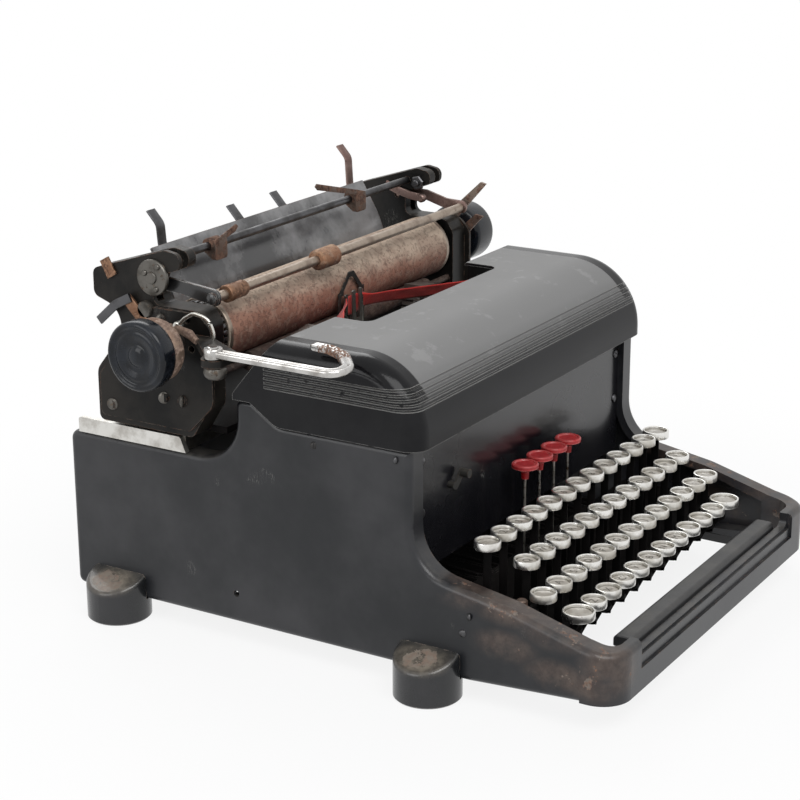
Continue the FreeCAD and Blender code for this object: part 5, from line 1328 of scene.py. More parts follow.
@dataclass
class Keyboard:
    """The four rows with their levers, the column keys, the comb and the space bar."""

    pitch: float = 19.05
    radius: float = 7.75
    big_radius: float = 9.5
    back_radius: float = 8.6
    wall: float = 1.35
    ring_height: float = 5.0
    paper_gap: float = 0.35
    legend_size: float = 6.6
    legend_depth: float = 0.03
    legend_drop: float = 1.39
    blade: float = 1.0
    blade_width: float = 5.0
    blade_back: float = 2.5
    blade_neck: float = 1.4
    neck_drop: float = 4.6
    shoulder_drop: float = 5.2
    lean: float = 9.5
    bend_z: float = 31.0
    fulcrum: Flat = (150.0, 30.0)
    eye: float = 4.0
    lever_top: float = 29.0
    lever_foot: float = 24.0
    nose_top: float = 33.4
    tie: Flat = (100.0, 38.0)
    tie_radius: float = 1.5
    rows: dict[str, KeyRow] = field(default_factory=lambda: {
        "number": KeyRow(-90.5, 87.5, -6.0, " 234567890-= "),
        "upper": KeyRow(-109.15, 75.9, -5.344, "QWERTYUIOP+*"),
        "home": KeyRow(-127.45, 64.7, -6.1, " ASDFGHJKL;:'"),
        "lower": KeyRow(-145.2, 54.1, -5.633, " ZXCVBNM,./ "),
    })
    bodies: dict[str, tuple[str, tuple[Key, ...]]] = field(default_factory=lambda: {
        "number_keys": ("number_row_keys", tuple(("number", i) for i in range(1, 12))),
        "upper_keys": ("upper_row_keys", tuple(("upper", i) for i in range(12) if i != 5)),
        "home_keys": ("home_row_keys", tuple(("home", i) for i in range(1, 13))),
        "lower_keys": ("lower_row_keys", tuple(("lower", i) for i in range(1, 11))),
        "letter_key": ("strike_key", (("upper", 5),)),
        "shift": ("shift_keys", (("lower", 0), ("lower", 11))),
        "shift_lock": ("shift_lock_key", (("home", 0),)),
        "backspace": ("backspace_key", (("number", 12),)),
        "margin_release": ("margin_release_key", (("number", 0),)),
    })

    def place(self, row: str, index: int) -> Point:
        """Gives the middle of a key's upper rim.

        Args:
            row: the row's name.
            index: the key's number in the row, from the left.

        Returns:
            The place in millimetres.
        """
        line = self.rows[row]
        return ((line.first + index) * self.pitch, line.y, line.top)

    def key_radius(self, key: Key) -> float:
        """Gives a key's radius: the shift keys are the largest, and the back space key is large too."""
        large = {("lower", 0): self.big_radius, ("lower", 11): self.big_radius,
                 ("number", 12): self.back_radius}
        return large.get(key, self.radius)

    def build(self) -> None:
        """Makes the keys of every body and dresses what stays."""
        for body, (node, keys) in self.bodies.items():
            self.caps(body, node, keys)
            self.levers(body, keys)
            self.legends(body, keys)
        dress({"key_comb": LEVER_BLACK, "key_fulcrum_rod": STEEL, "space_bar": BAR_PAINT})
        dress({f"tab_key_{i}": RED_CAP for i in range(1, 5)})
        self.lower_tabs()
        self.left_link()

    def caps(self, body: str, node: str, keys: Sequence[Key]) -> None:
        """Makes the rings and the faces of one body's keys.

        Args:
            body: the body's name.
            node: the CAD node that they stand for.
            keys: row and number of each key.
        """
        radius = self.key_radius(keys[0])
        spots = [Spot(self.place(*key)) for key in keys]
        rings = repeat(f"{body}_rings", Part.KEY_RING, spots, KEY_NICKEL, body,
                       Radius=radius, Wall=self.wall, Height=self.ring_height)
        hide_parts(node)
        faces = repeat(f"{body}_faces", Part.KEY_FACE, spots, KEY_PAPER, body,
                       Radius=radius - self.wall - self.paper_gap, Dome=0.5, Depth=1.9)

    def lever_outline(self, front: float, raised: bool) -> list[Flat]:
        """Draws a long lever, from its eye on the fulcrum to its front end.

        Args:
            front: where its front end is.
            raised: whether the front end has a raised nose.

        Returns:
            The outline, as (y, z).
        """
        y, z = self.fulcrum
        eye = self.eye
        nose = [(front, self.lever_top, 0), (front, self.lever_foot, 2)]
        if raised:
            nose = [(front + 16, 30.6, 6), (front + 9, self.nose_top, 5), (front, self.nose_top, 2.2),
                    (front, self.lever_top, 2), (front + 36, self.lever_foot, 8)]
        return smooth_outline([(y + eye, z - eye, eye), (y + eye, z + eye, eye), (y - 2 * eye, z + eye, 3),
                               *nose])

    def blade_outline(self, front: float, lean: float, top: float) -> list[Flat]:
        """Draws an upright blade, from its lever to its cap.

        Args:
            front: where the lever's front end is.
            lean: how far the blade leans forward.
            top: the height of the cap's rim.

        Returns:
            The outline, as (y, z).
        """
        y, z = self.fulcrum
        width, neck, cap = self.blade_width, self.blade_neck, front - lean
        rise = (z + self.eye - self.lever_top) * width / (y - 2 * self.eye - front)
        bends = ((front + width, self.bend_z), (front, self.bend_z)) if lean else ()
        shoulder, end = top - self.shoulder_drop, top - self.neck_drop
        return [(front, self.lever_top), (front + width, self.lever_top + rise), *bends[:1],
                (cap + width, shoulder), (cap + width - neck, end), (cap + neck, end), (cap, shoulder),
                *bends[1:]]

    def levers(self, body: str, keys: Sequence[Key]) -> None:
        """Makes the upright blades and the long levers of one body's keys.

        Args:
            body: the body's name.
            keys: row and number of each key.
        """
        shape = Shaper(f"{body}_levers")
        for key in keys:
            x, y, top = self.place(*key)
            lean = self.lean if key[0] == "lower" else 0.0
            front = y + lean - self.blade_back
            low, high = x - self.blade / 2, x + self.blade / 2
            shape.plate(self.lever_outline(front, lean > 0), "X", low, high, 0.2)
            shape.plate(self.blade_outline(front, lean, top), "X", low, high, 0.2)
        if body == "shift":
            self.shift_tie(shape, *(self.place(*key)[0] for key in keys))
        shape.finish(LEVER_BLACK, body)

    def shift_tie(self, shape: Shaper, left: float, right: float) -> None:
        """Adds the rod that joins the two shift levers, with a lug at each end.

        Args:
            shape: the levers' piece.
            left: the left lever's x.
            right: the right lever's x.
        """
        y, z = self.tie
        shape.rod((left, y, z), (right, y, z), self.tie_radius)
        lug = smooth_outline([(y - 3, z - 11, 0), (y + 3, z - 11, 0), (y + 3, z + 3, 2), (y - 3, z + 3, 2)])
        for x in (left + 0.9, right - 0.9):
            shape.plate(lug, "X", x - 0.4, x + 0.4, 0.1)

    def sign(self, mark: str, place: Point) -> bpy.types.Mesh:
        """Makes the mesh of one printed mark.

        Args:
            mark: the letter or figure.
            place: the middle of its key's upper rim.

        Returns:
            The mesh.
        """
        text = bpy.data.curves.new("legend", "FONT")
        text.body = mark
        text.size = self.legend_size * MM
        text.align_x, text.align_y = "CENTER", "CENTER"
        text.resolution_u = 3
        text.extrude = self.legend_depth * MM
        sign = link("legend", text)
        graph = bpy.context.evaluated_depsgraph_get()
        mesh = bpy.data.meshes.new_from_object(sign.evaluated_get(graph), depsgraph=graph)
        x, y, top = place
        mesh.transform(Matrix.Translation(Vector((x, y, top - self.legend_drop)) * MM))
        bpy.data.objects.remove(sign)
        bpy.data.curves.remove(text)
        return mesh

    def legends(self, body: str, keys: Sequence[Key]) -> None:
        """Prints the letters and figures on one body's keys.

        Args:
            body: the body's name.
            keys: row and number of each key.
        """
        marks = [(self.rows[row].legends[i], self.place(row, i)) for row, i in keys]
        marks = [(mark, place) for mark, place in marks if mark != " "]
        if not marks:
            return
        shape = Shaper(f"{body}_legends")
        for mark, place in marks:
            mesh = self.sign(mark, place)
            shape.bm.from_mesh(mesh)
            bpy.data.meshes.remove(mesh)
        shape.finish(LEGEND_INK, body)

    def lower_tabs(self) -> None:
        """Small pointed tabs beside the caps of the lowest row."""
        shape = Shaper("lower_key_tabs")
        for i in range(1, 11):
            x, y, top = self.place("lower", i)
            left = x - self.radius
            shape.plate([(left - 4.2, y + 5.6), (left + 1.2, y + 0.8), (left + 1.6, y + 4.4)], "Z",
                        top - 3.4, top - 2.6, 0.15)
        shape.finish(KEY_NICKEL, "lower_keys")

    def left_link(self) -> None:
        """The brown link that lies beside the comb at the left, with its pin."""
        shape = Shaper("margin_link")
        shape.sweep([(-126, -92, 57), (-125, -104, 57.5), (-124, -116, 58)], rounded_section(2.2, 1.6, 0.5))
        shape.lathe([(0, 0), (2.8, 0), (3.3, 0.6), (3.3, 4.2), (2.6, 5.0), (0, 5.0)],
                    (-124, -118, 55.5), (0, 0, 1), 20)
        shape.finish(BROWN_IRON, "frame")


@dataclass
class TypeBasket:
    """The segment, the typebars and what guides them."""

    def build(self) -> None:
        """Dresses the nodes."""
        dress({"type_segment": TYPE_STEEL, "typebars": TYPE_STEEL, "strike_typebar": TYPE_STEEL,
               "type_rest": SATIN_BLACK, "type_guide": STEEL, "card_holder": SATIN_BLACK})


@dataclass
class RibbonFeed:
    """The ribbon, its fork and its spools."""

    low_z: float = 170.7
    width: float = 12.6
    thickness: float = 0.25
    steps: int = 60
    across: int = 8
    twist: float = 45.0
    route: tuple[Flat, ...] = ((0, 72.1), (11, 72.1), (32, 62.0), (64, 41.5), (98, 19.6))

    def build(self) -> None:
        """Dresses the spools and makes the two halves of the ribbon."""
        dress({"ribbon_vibrator": NICKEL, "spool_brackets": SATIN_BLACK, "ribbon_spool_left": STEEL,
               "ribbon_spool_right": STEEL})
        for side, name in ((-1, "left"), (1, "right")):
            self.half(side, name)

    def lengths(self) -> list[float]:
        """Gives how far along the ribbon each point of its route is."""
        line = [Vector(p) for p in self.route]
        return [0.0, *accumulate((b - a).length for a, b in zip(line, line[1:]))]

    def row(self, side: int, share: float) -> list[Point]:
        """Gives the points across the ribbon at one place along it.

        Args:
            side: -1 for the left half, 1 for the right.
            share: the place, from 0 at the fork to 1 at the spool.

        Returns:
            The points, from the lower edge to the upper one, in millimetres.
        """
        lengths = self.lengths()
        total = lengths[-1]
        s = total * share
        k = max(j for j in range(len(self.route) - 1) if lengths[j] <= s + 1e-9)
        start, end = Vector(self.route[k]), Vector(self.route[k + 1])
        spot = start.lerp(end, (s - lengths[k]) / (lengths[k + 1] - lengths[k]))
        way = (end - start).normalized()
        free = max(0.0, min(1.0, (s - 2) / (total - 10)))
        ease = min(1.0, free / 0.16) * min(1.0, (1.0 - free) / 0.2)
        fold = math.radians(self.twist) * ease * ease * (3 - 2 * ease)
        points = []
        for j in range(self.across + 1):
            v = (j / self.across - 0.5) * self.width
            wave = 0.35 * math.sin(9 * free * math.pi) * math.cos(3.1 * v / 6) * free
            out = v * math.sin(fold) * 0.8 + wave
            points.append((side * (spot.x + way.y * out), spot.y - way.x * out,
                           self.low_z + self.width / 2 + v * math.cos(fold)))
        return points

    def half(self, side: int, name: str) -> None:
        """Makes one half, from the fork to its spool, bending between the frame and the fork.

        Args:
            side: -1 for the left, 1 for the right.
            name: the side's name.
        """
        total = self.lengths()[-1]
        bm = bmesh.new()
        layer = bm.loops.layers.uv.new("UVMap")
        rows = [[bm.verts.new(Vector(p) * MM) for p in self.row(side, i / self.steps)]
                for i in range(self.steps + 1)]
        for i, (low, high) in enumerate(zip(rows, rows[1:])):
            for j in range(self.across):
                face = bm.faces.new([low[j], low[j + 1], high[j + 1], high[j]])
                places = ((i, j), (i, j + 1), (i + 1, j + 1), (i + 1, j))
                for loop, (a, b) in zip(face.loops, places):
                    loop[layer].uv = (a / self.steps * total * MM, b / self.across * self.width * MM)
        mesh = bpy.data.meshes.new(f"ribbon_{name}")
        bmesh.ops.recalc_face_normals(bm, faces=bm.faces)
        bm.to_mesh(mesh)
        bm.free()
        mesh.shade_smooth()
        mesh.materials.append(RIBBON_CLOTH.material())
        piece = link(mesh.name, mesh)
        thick = piece.modifiers.new("thickness", "SOLIDIFY")
        thick.thickness = self.thickness * MM
        thick.offset = 0.0
        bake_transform(piece)
        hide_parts("ribbon")
        LOG.info("piece ribbon_%s on vibrator and frame", name)


@dataclass
class Carriage:
    """The platen with its knobs, the end castings and all that rides between them."""

    axis: Flat = (95.2, 186.5)
    half: float = 134.0
    plate_x: float = 152.0
    screws: tuple[Flat, ...] = ((106.4, 150.3), (93.3, 150.2), (146, 140), (107, 198))
    knob_x: float = 168.0
    knob_rim: float = 20.8
    knob_face: tuple[Flat, ...] = (
        (20.8, 20.8), (20.5, 22.4), (19.6, 23.6), (18.2, 24.0), (17.2, 23.7), (16.6, 22.9), (16.0, 22.6),
        (14.9, 22.5), (14.3, 22.9), (13.4, 23.1), (12.2, 22.9), (9.5, 21.9), (7.2, 21.5), (6.2, 22.0),
        (5.2, 23.0), (3.6, 23.5), (0, 23.7))
    left_knob_back: tuple[Flat, ...] = ((0, 0), (5.0, 0), (9.2, 0), (17.6, 9.0), (19.6, 11.6), (20.4, 13.0))
    right_knob_back: tuple[Flat, ...] = ((0, 0), (5.0, 0), (9.2, 0), (17.2, 0.6), (19.6, 1.6), (20.6, 3.2))
    band_x: float = 128.4
    ring_x: Flat = (-133.2, -128.6)
    ring_radii: Flat = (16.9, 19.4)
    ring_teeth: int = 30
    tooth_share: float = 0.62
    lever_pivot: Point = (-186.5, 44.0, 192.6)
    lever_bends: tuple[Point, ...] = (
        (0.0, -37.0, 7.0), (14.0, -35.5, 10.0), (32.0, -21.0, 10.0), (39.0, -8.0, 8.0), (39.5, 2.0, 0.0))
    lever_rise: float = 2.9
    groove: float = 1.4
    bail_pivot: Flat = (120.0, 219.0)
    bail_rod: Flat = (74.5, 213.0)
    bail_x: float = 144.0
    sleeve_x: float = -132.5
    margin_rod: Flat = (112.0, 230.0)
    stop_x: Flat = (-92.0, 65.0)
    stop_reach: Flat = (15.0, 51.0)
    stop_bore: float = 2.6
    stop_half: float = 5.0
    finger_tops: tuple[Flat, ...] = ((-105.0, 250.0), (-24.0, 238.0), (24.0, 238.0), (105.0, 256.0))
    hub: Flat = (112.6, 222.0)
    hub_studs: tuple[Flat, ...] = ((108.0, 229.0), (117.5, 224.5), (109.5, 215.5))
    low_disc: Flat = (118.0, 202.5)
    strap_line: tuple[Point, ...] = ((151.0, 192.0, 0), (138.0, 203.5, 10), (127.0, 209.0, 0))
    upper_link: tuple[Point, ...] = ((-151.0, 148.0, 229.0), (-151.1, 145.5, 224.5), (-151.2, 142.5, 219.0))
    lower_link: tuple[Point, ...] = ((-153.0, 131.0, 208.0), (-153.0, 123.0, 200.0), (-153.0, 117.0, 193.5))
    hook_line: tuple[Point, ...] = (
        (92.5, 196.5, 0), (87.0, 202.0, 4), (80.5, 206.0, 6), (69.5, 204.0, 8), (65.8, 194.0, 8),
        (70.5, 184.0, 0))
    tab_path: tuple[Point, ...] = (
        (-153.4, 100.0, 194.0), (-157.0, 90.0, 195.5), (-160.0, 80.0, 194.6), (-161.5, 74.0, 191.5))
    bolt: Point = (134.0, 103.0, 229.0)
    right_link: tuple[Point, ...] = (
        (132.2, 128.0, 226.0), (132.0, 118.0, 222.5), (132.0, 108.0, 220.0), (132.0, 99.0, 219.0))

    def build(self) -> None:
        """Dresses the nodes and makes the detail pieces."""
        dress({"carriage_bed": LEVER_BLACK, "carriage_end_left": GRIMY_BLACK,
               "carriage_end_right": GRIMY_BLACK, "platen": PLATEN_RUBBER, "platen_core": STEEL,
               "feed_roller": FEED_RUBBER, "bail_roller": ROLLER_RUBBER, "paper_table": TABLE_PAINT,
               "margin_rod": DARK_STEEL, "paper_release_lever": RUSTY_STEEL,
               "carriage_release_lever": BROWN_IRON, "escapement_rack": STEEL})
        self.knobs()
        self.lever()
        self.end_screws()
        self.bail()
        self.fingers()
        self.platen_rings()
        self.margin_stops()
        self.left_works()
        self.right_works()

    def knobs(self) -> None:
        """Both platen knobs: a domed face inside a flat ring and a rounded rim, on a hub."""
        shape = Shaper("platen_knob_pair")
        for side, back in ((-1, self.left_knob_back), (1, self.right_knob_back)):
            rim = (self.knob_rim, back[-1][1] + 1.8)
            shape.lathe([*back, rim, *self.knob_face], (side * self.knob_x, *self.axis), (side, 0, 0), 72)
        piece = shape.finish(RESIN, "platen_roll", 50)
        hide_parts("platen_knobs")
        hub = Shaper("left_knob_hub")
        hub.lathe([(0, 0.2), (16.2, 0.2), (17.8, 1.2), (18.6, 3.0), (18.6, 9.4), (18.0, 10.2), (0, 10.2)],
                  (-self.knob_x, *self.axis), (-1, 0, 0), 64)
        hub.finish(TAN_WEAR, "platen_roll", 45)

    def bail(self) -> None:
        """The paper bail: a rod with a sleeve at its left end, a black arm and a rusty arm."""
        y, z = self.bail_rod
        end = self.bail_x - 1
        rod = Shaper("paper_bail_rod")
        rod.rod((-end, y, z), (end, y, z), 2.95, 24)
        piece = rod.finish(BAIL_STEEL, "bail")
        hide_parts("paper_bail")
        py, pz = self.bail_pivot
        broad = [(py + 4.5, pz - 4.5, 4), (py + 4.5, pz + 4.5, 4), (98, pz + 2, 12),
                 (y - 5, z + 5, 4.5), (y - 5, z - 5, 4.5), (98, pz - 6, 12)]
        narrow = [(py + 3.8, pz - 3.6, 3.4), (py + 3.8, pz + 3.6, 3.4), (102, pz + 3.4, 10),
                  (86, pz - 1.0, 8), (y - 4.4, z + 4.4, 4.2), (y - 4.4, z - 4.4, 4.2), (86, pz - 8.2, 8),
                  (102, pz - 3.6, 10)]
        self.bail_arm("left", -1, EDGED_BLACK, broad)
        self.bail_arm("right", 1, PINK_RUST, narrow)
        sleeve = Shaper("paper_bail_sleeve")
        sleeve.lathe([(3.0, 0), (4.8, 0), (5.3, 0.8), (5.3, 5.0), (4.9, 5.8), (4.9, 17.0), (4.3, 18.6),
                      (3.0, 18.6), (3.0, 0)], (self.sleeve_x, y, z), (1, 0, 0), 28)
        sleeve.finish(ORANGE_RUST, "bail", 40)

    def bail_arm(self, name: str, side: int, finish: Finish, corners: Sequence[Point]) -> None:
        """Makes one arm of the paper bail with its rivets and its pivot.

        Args:
            name: the side's name.
            side: -1 for the left, 1 for the right.
            finish: the arm's finish.
            corners: its outline, as (y, z, radius).
        """
        arm = Shaper(f"paper_bail_arm_{name}")
        low, high = sorted((side * (self.bail_x - 1), side * (self.bail_x + 1)))
        arm.plate(smooth_outline(corners, 6), "X", low, high, 0.35)
        for at, radius in ((self.bail_rod, 3.4), (self.bail_pivot, 3.2)):
            arm.lathe([(0, 0), (radius, 0), (radius, 1.2), (radius - 0.7, 1.8), (0, 1.9)],
                      (side * (self.bail_x + 0.9), *at), (side, 0, 0), 20)
        arm.rod((side * (self.half + 0.5), *self.bail_pivot), (side * self.bail_x, *self.bail_pivot),
                1.95, 16)
        piece = arm.finish(finish, "bail", 40)
        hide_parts("paper_bail")

    def fingers(self) -> None:
        """The paper fingers: three dark ones and a tall rusty one, each a strip that bends to the back."""
        bend, top = Vector((123.0, 200.0)), Vector((140.0, 229.0))
        along = (top - bend).normalized()
        proud = Vector((along.y, -along.x)) * 0.7
        foot = bend + along * 17
        tall = self.finger_tops[-1:]
        for name, finish, stands in (("dark", DARK_STEEL, self.finger_tops[:-1]), ("tall", PINK_RUST, tall)):
            shape = Shaper(f"paper_fingers_{name}")
            for x, height in stands:
                rise, tip = Vector((top.x + 1, height - 8)), Vector((top.x + 9, height))
                line = bent_line([(*(foot + proud), 0), (*(top + proud), 9), (rise.x + 0.7, rise.y - 0.4, 7),
                                  (tip.x - 0.2, tip.y - 0.6, 0)], 5)
                shape.sweep([(x, a, b) for a, b in line], rounded_section(7.8, 1.4, 0.5, 2), up=(0, 1, 0))
            piece = shape.finish(finish, "carriage", 40)
            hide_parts("paper_fingers")

    def platen_rings(self) -> None:
        """A nickel band at each end of the platen and a slotted ring at its left end."""
        for side, name in ((-1, "left"), (1, "right")):
            band = Shaper(f"platen_band_{name}")
            band.lathe([(17.4, 0), (20.1, 0), (20.65, 0.5), (20.65, 3.2), (20.52, 3.6), (17.4, 3.6),
                        (17.4, 0)], (side * self.band_x, *self.axis), (-side, 0, 0), 72)
            band.finish(BAIL_STEEL, "platen_roll", 50)
        ring = Shaper("platen_index_ring")
        y, z = self.axis
        inner, outer = self.ring_radii
        for i in range(self.ring_teeth):
            start, end = (math.tau * (i + share) / self.ring_teeth for share in (0.0, self.tooth_share))
            corners = ((inner, start), (outer, start), (outer, end), (inner, end))
            ring.plate([(y + r * math.cos(a), z + r * math.sin(a)) for r, a in corners], "X", *self.ring_x,
                       0.25)
        ring.finish(DARK_STEEL, "platen_roll", 30)

    def disc(self, shape: Shaper, x: float, at: Flat, radius: float, depth: float) -> None:
        """Adds a round plate with a soft rim that stands out from the left end casting.

        Args:
            shape: the piece that it becomes part of.
            x: where it starts.
            at: its middle, (y, z).
            radius: its radius.
            depth: how far it stands out.
        """
        soft = min(0.6, depth * 0.4)
        shape.lathe([(0, 0), (radius, 0), (radius, depth - soft), (radius - soft, depth), (0, depth)],
                    (-x, *at), (-1, 0, 0), 36)

    def left_works(self) -> None:
        """The small levers, links and studs on the left end casting."""
        hub = Shaper("left_hub_disc")
        self.disc(hub, self.plate_x - 2, self.hub, 11.0, 2.2)
        for at in self.hub_studs:
            self.disc(hub, self.plate_x, at, 1.7, 1.2)
        self.disc(hub, self.plate_x, self.hub, 3.6, 1.0)
        self.disc(hub, self.plate_x - 2, self.low_disc, 5.0, 4.0)
        hub.finish(OLD_NICKEL, "carriage", 45)
        strap = Shaper("left_dark_strap")
        strap.sweep([(-154.4, a, b) for a, b in bent_line(self.strap_line, 6)],
                    rounded_section(1.8, 5.4, 0.5), up=(0, 0.5, 0.8))
        strap.finish(DARK_STEEL, "carriage", 45)
        rusty = Shaper("left_rusty_links")
        rusty.sweep(self.upper_link, rounded_section(1.8, 7.0, 0.5), up=(0, 0.8, -0.5))
        rusty.sweep(self.lower_link, rounded_section(2.0, 7.2, 0.5), up=(0, 0.7, -0.7))
        rusty.finish(ORANGE_RUST, "carriage", 45)
        hook = Shaper("left_chrome_hook")
        hook.sweep([(-155.6, a, b) for a, b in bent_line(self.hook_line, 6)],
                   rounded_section(1.6, 2.4, 0.7, 3), up=(0, 0.6, 0.8))
        self.disc(hook, self.plate_x, self.hook_line[0][:2], 3.0, 4.6)
        hook.finish(NICKEL, "carriage", 50)
        tab = Shaper("left_brown_tab")
        tab.sweep(self.tab_path, rounded_section(3.4, 5.0, 1.4, 3), scales=[0.7, 0.9, 1.1, 0.8])
        self.disc(tab, self.plate_x, self.tab_path[0][1:], 2.6, 2.0)
        tab.finish(TAN_WEAR, "carriage", 45)

    def right_works(self) -> None:
        """The bolt and the links that show on the inner side of the right end casting."""
        bolt = Shaper("right_arm_bolt")
        bolt.lathe([(0, 0), (5.2, 0), (5.2, 1.8), (4.4, 2.4), (0, 2.6)], self.bolt, (-1, 0, 0), 6)
        bolt.lathe([(0, 2.4), (2.4, 2.4), (2.4, 4.2), (1.9, 4.8), (0, 4.9)], self.bolt, (-1, 0, 0), 20)
        bolt.finish(DARK_STEEL, "carriage", 30)
        links = Shaper("right_links")
        links.sweep(self.right_link, rounded_section(1.8, 5.6, 0.5), up=(0, 0.2, 1))
        pin = self.right_link[-1][1:]
        links.rod((self.half, *pin), (self.half - 4.4, *pin), 3.0, 18)
        links.finish(PINK_RUST, "carriage", 45)

    def lever_section(self) -> list[Flat]:
        """Gives the return lever's section, with a shallow groove along its upper face.

        Returns:
            The corners, (sideways, up).
        """
        section = [(a, b if b < 0 or abs(a) > self.groove else b - 0.7 * (self.groove - abs(a)))
                   for a, b in rounded_section(7.2, 4.2, 1.5, 5)]
        top = max(i for i, (a, b) in enumerate(section) if b > 0 and a > 0)
        section[top + 1:top + 1] = [(1.3, 2.1), (0.0, 1.35), (-1.3, 2.1)]
        return section

    def lever(self) -> None:
        """The chrome return lever: a soft-edged strap that ends in a hook, on its eye, over a nickel boss."""
        shape = Shaper("return_lever_bar")
        x, y, z = self.lever_pivot
        corners = [(x, y, 0), *((x + out, at, radius) for out, at, radius in self.lever_bends)]
        path = [(a, b, z + self.lever_rise) for a, b in bent_line(corners, 10)]
        last, before = Vector(path[-1]), Vector(path[-2])
        tip = last + (last - before).normalized() * 3.2
        path += [tuple(last.lerp(tip, t)) for t in (0.5, 0.85, 1.0)]
        scales = [1.0] * (len(path) - 3) + [0.88, 0.55, 0.2]
        shape.sweep(path, self.lever_section(), scales=scales)
        shape.lathe([(0, 0), (5.1, 0), (5.5, 0.5), (5.5, 5.3), (5.1, 5.8), (0, 5.8)], self.lever_pivot,
                    (0, 0, 1), 40)
        shape.lathe([(0, 5.8), (3.2, 5.8), (3.2, 6.4), (2.6, 6.9), (0, 7.0)], self.lever_pivot, (0, 0, 1), 24)
        piece = shape.finish(LEVER_CHROME, "return_arm", 40)
        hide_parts("return_lever")
        boss = Shaper("lever_pivot_boss")
        boss.lathe([(0, 0), (4.2, 0.3), (6.0, 1.8), (6.8, 4.2), (6.5, 6.4), (5.6, 7.3), (0, 7.3)],
                   (x + 1.4, y, z - 12.4), (0, 0, 1), 32)
        boss.finish(OLD_NICKEL, "carriage", 45)

    def margin_stops(self) -> None:
        """The stops on the margin rod: a collar, a bent plate in front of it and a flat pointer."""
        for side, name, x, reach in zip((-1, 1), ("left", "right"), self.stop_x, self.stop_reach):
            stop = Shaper(f"margin_stop_{name}_bracket")
            self.stop_collar(stop, x)
            self.stop_front(stop, x, -side, reach)
            piece = stop.finish(BROWN_IRON, f"{name}_margin", 40)
            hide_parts(f"margin_stop_{name}")

    def stop_collar(self, stop: Shaper, x: float) -> None:
        """Adds a stop's collar and the two cheeks that it stands between.

        Args:
            stop: the stop's piece.
            x: its middle.
        """
        y, z = self.margin_rod
        bore, half = self.stop_bore, self.stop_half
        stop.lathe([(bore, 0), (4.3, 0), (4.7, 0.5), (4.7, 9.5), (4.3, 10), (bore, 10), (bore, 0)],
                   (x - half, y, z), (1, 0, 0), 28)
        outline = smooth_outline([(106.4, z - 8, 1), (109, z - 8, 1), (y + 4, z - 3, 3), (y + 4, z + 4, 3),
                                  (106.4, z + 4, 2)])
        hole = [(y + bore * math.cos(a), z + bore * math.sin(a))
                for a in (math.tau * i / 16 for i in range(16))]
        for cheek in (-half, half):
            stop.ring_plate(outline, hole, x + cheek - 0.6, x + cheek + 0.6)

    def stop_front(self, stop: Shaper, x: float, lean: int, reach: float) -> None:
        """Adds a stop's front plate and its pointer.

        Args:
            stop: the stop's piece.
            x: its middle.
            lean: 1 where the pointer reaches to the right, -1 to the left.
            reach: how far the pointer reaches.
        """
        z = self.margin_rod[1]
        half = self.stop_half + 1
        front = [(x - half, z - 8.3, 1.5), (x + half, z - 8.3, 1.5), (x + half, z + 4.5, 2),
                 (x - half, z + 4.5, 2)]
        stop.plate(smooth_outline(front), "Y", 106.1, 107.3, 0.2)
        start, tip = x - lean * self.stop_half, z + 4 + reach * 0.25
        pointer = [(start, z + 1.0), (x + lean * reach, tip - 2.2), (x + lean * (reach + 3), tip + 0.6),
                   (x + lean * (reach + 1), tip + 2.2), (start, z + 4.3)]
        stop.plate(pointer[::lean], "Y", 106.2, 107.2, 0.2)

    def end_screws(self) -> None:
        """Slotted heads on both end plates."""
        spots = [Spot((side * (self.plate_x + 0.2), y, z), (0.7 + 1.3 * i, side * QUARTER_TURN, 0.0))
                 for side in (-1, 1) for i, (y, z) in enumerate(self.screws)]
        heads = repeat("end_plate_screw_heads", Part.SLOTTED_SCREW, spots, OLD_NICKEL, "carriage",
                       Radius=3.8, Height=1.7, Slot=0.9)


@dataclass
class Works:
    """The escapement, the spring drum and the bell."""

    def build(self) -> None:
        """Dresses the nodes."""
        dress({"escapement_wheel": TYPE_STEEL, "mainspring_drum": STEEL, "bell": BRASS})


# ---- studio ------------------------------------------------------------------------------
@dataclass
class Lamp:
    """A soft area lamp."""

    name: str
    place: Point
    target: Point
    size: Flat
    power: float


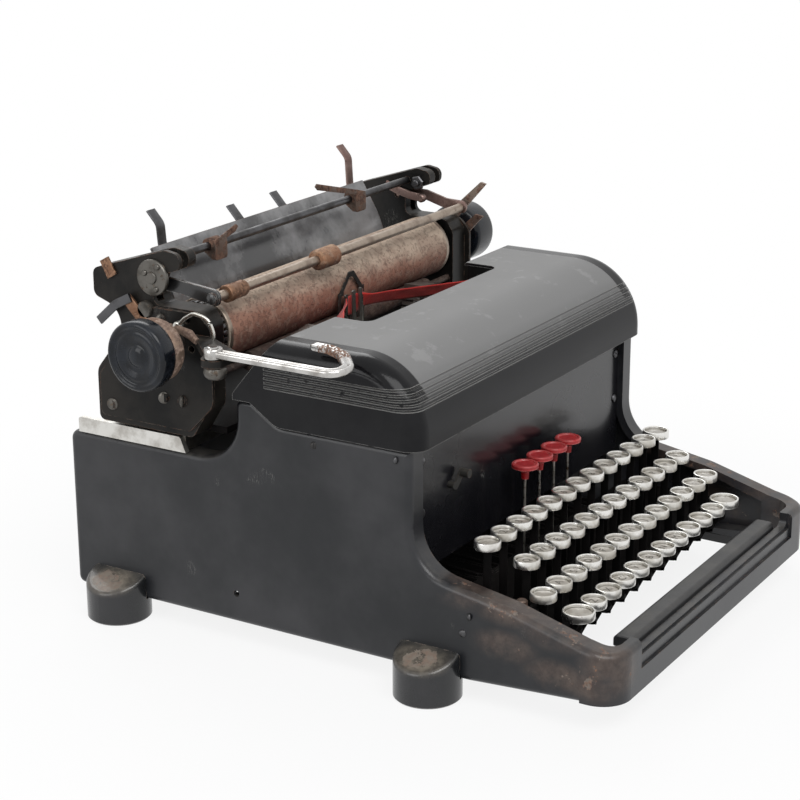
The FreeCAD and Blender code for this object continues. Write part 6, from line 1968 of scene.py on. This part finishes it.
@dataclass
class Studio:
    """The floor, the lamps, the sky and the camera."""

    floor_radius: float = 30.0
    floor_corners: int = 64
    camera_place: Point = (-1.04617, -0.60024, 0.50785)
    camera_forward: Point = (0.81398626, 0.49564728, -0.30291936)
    camera_up: Point = (0.26056113, 0.15452941, 0.95301026)
    focal_length: float = 90.638
    sky: float = 0.42
    lamps: tuple[Lamp, ...] = (
        Lamp("key_light", (-0.9, -1.1, 1.9), (0.0, 0.0, 0.1), (1.6, 1.2), 30.0),
        Lamp("side_light", (-1.9, 0.7, 1.0), (0.0, 0.0, 0.12), (1.2, 1.2), 12.0),
        Lamp("back_light", (0.9, 1.3, 1.5), (0.0, 0.0, 0.15), (1.6, 0.9), 14.0),
    )

    def build(self) -> None:
        """Builds the stage."""
        self.floor()
        self.world()
        for lamp in self.lamps:
            self.lamp(lamp)
        self.camera()
        bpy.context.scene.view_settings.view_transform = "Standard"

    @staticmethod
    def seen(tree: Tree) -> Wire:
        """Gives a mask of the rays that see the stage itself, straight, mirrored or through glass.

        Args:
            tree: where its nodes go.

        Returns:
            The mask.
        """
        path = tree.add("ShaderNodeLightPath")
        mirrored = tree.larger(path.outputs["Is Glossy Ray"], path.outputs["Is Transmission Ray"])
        return tree.larger(path.outputs["Is Camera Ray"], mirrored)

    def floor(self) -> None:
        """A pale floor that keeps the shadow near the machine and is white far from it."""
        mesh = bpy.data.meshes.new("studio_floor")
        angles = (math.tau * i / self.floor_corners for i in range(self.floor_corners))
        rim = [(self.floor_radius * math.cos(a), self.floor_radius * math.sin(a), 0.0) for a in angles]
        mesh.from_pydata(rim, [], [range(self.floor_corners)])
        floor = link("studio_floor", mesh)
        s = Surface("studio_floor")
        s.set(Base_Color=(0.80, 0.80, 0.80, 1), Roughness=0.75)
        glow = s.add("ShaderNodeEmission", {0: (1.0, 1.0, 1.0, 1.0), 1: 1.0})
        fade = s.span(s.vector("LENGTH", s.where).outputs["Value"], 0.20, 0.50, 0.86, 1.0)
        blend = s.add("ShaderNodeMixShader", {0: s.times(self.seen(s), fade), 1: s.shader.outputs[0],
                                              2: glow.outputs[0]})
        s.feed(s.leave.inputs["Surface"], blend.outputs[0])
        mesh.materials.append(s.material)

    def world(self) -> None:
        """A soft white sky that the camera sees as white."""
        world = bpy.data.worlds.new("studio_sky")
        bpy.context.scene.world = world
        world.use_nodes = True
        tree = Tree(world.node_tree)
        soft = tree.add("ShaderNodeBackground", {0: (0.97, 0.985, 1.0, 1.0), 1: self.sky})
        white = tree.add("ShaderNodeBackground", {0: (1.0, 1.0, 1.0, 1.0), 1: 1.0})
        mixed = tree.add("ShaderNodeMixShader", {0: self.seen(tree), 1: soft.outputs[0], 2: white.outputs[0]})
        tree.add("ShaderNodeOutputWorld", {0: mixed.outputs[0]})

    def lamp(self, lamp: Lamp) -> None:
        """Hangs one lamp.

        Args:
            lamp: its place and size.
        """
        data = bpy.data.lights.new(lamp.name, "AREA")
        data.shape = "RECTANGLE"
        data.size, data.size_y = lamp.size
        data.energy = lamp.power
        light = link(lamp.name, data)
        light.location = lamp.place
        light.rotation_euler = (Vector(lamp.target) - Vector(lamp.place)).to_track_quat("-Z", "Y").to_euler()

    def camera(self) -> None:
        """Sets the camera."""
        data = bpy.data.cameras.new("camera")
        data.lens = self.focal_length
        data.sensor_width = 36.0
        camera = link("camera", data)
        forward, up = Vector(self.camera_forward), Vector(self.camera_up)
        right = forward.cross(up)
        turn = Matrix((right, up, -forward)).transposed().to_4x4()
        camera.matrix_world = Matrix.Translation(self.camera_place) @ turn
        bpy.context.scene.camera = camera


def main() -> None:
    """Builds every sub-assembly in order."""
    logging.basicConfig(level=logging.INFO, format="%(name)s: %(message)s")
    for part in (Body(), Keyboard(), TypeBasket(), RibbonFeed(), Carriage(), Works(), Studio()):
        LOG.info("building %s", type(part).__name__)
        part.build()


if __name__ == "__main__":
    main()
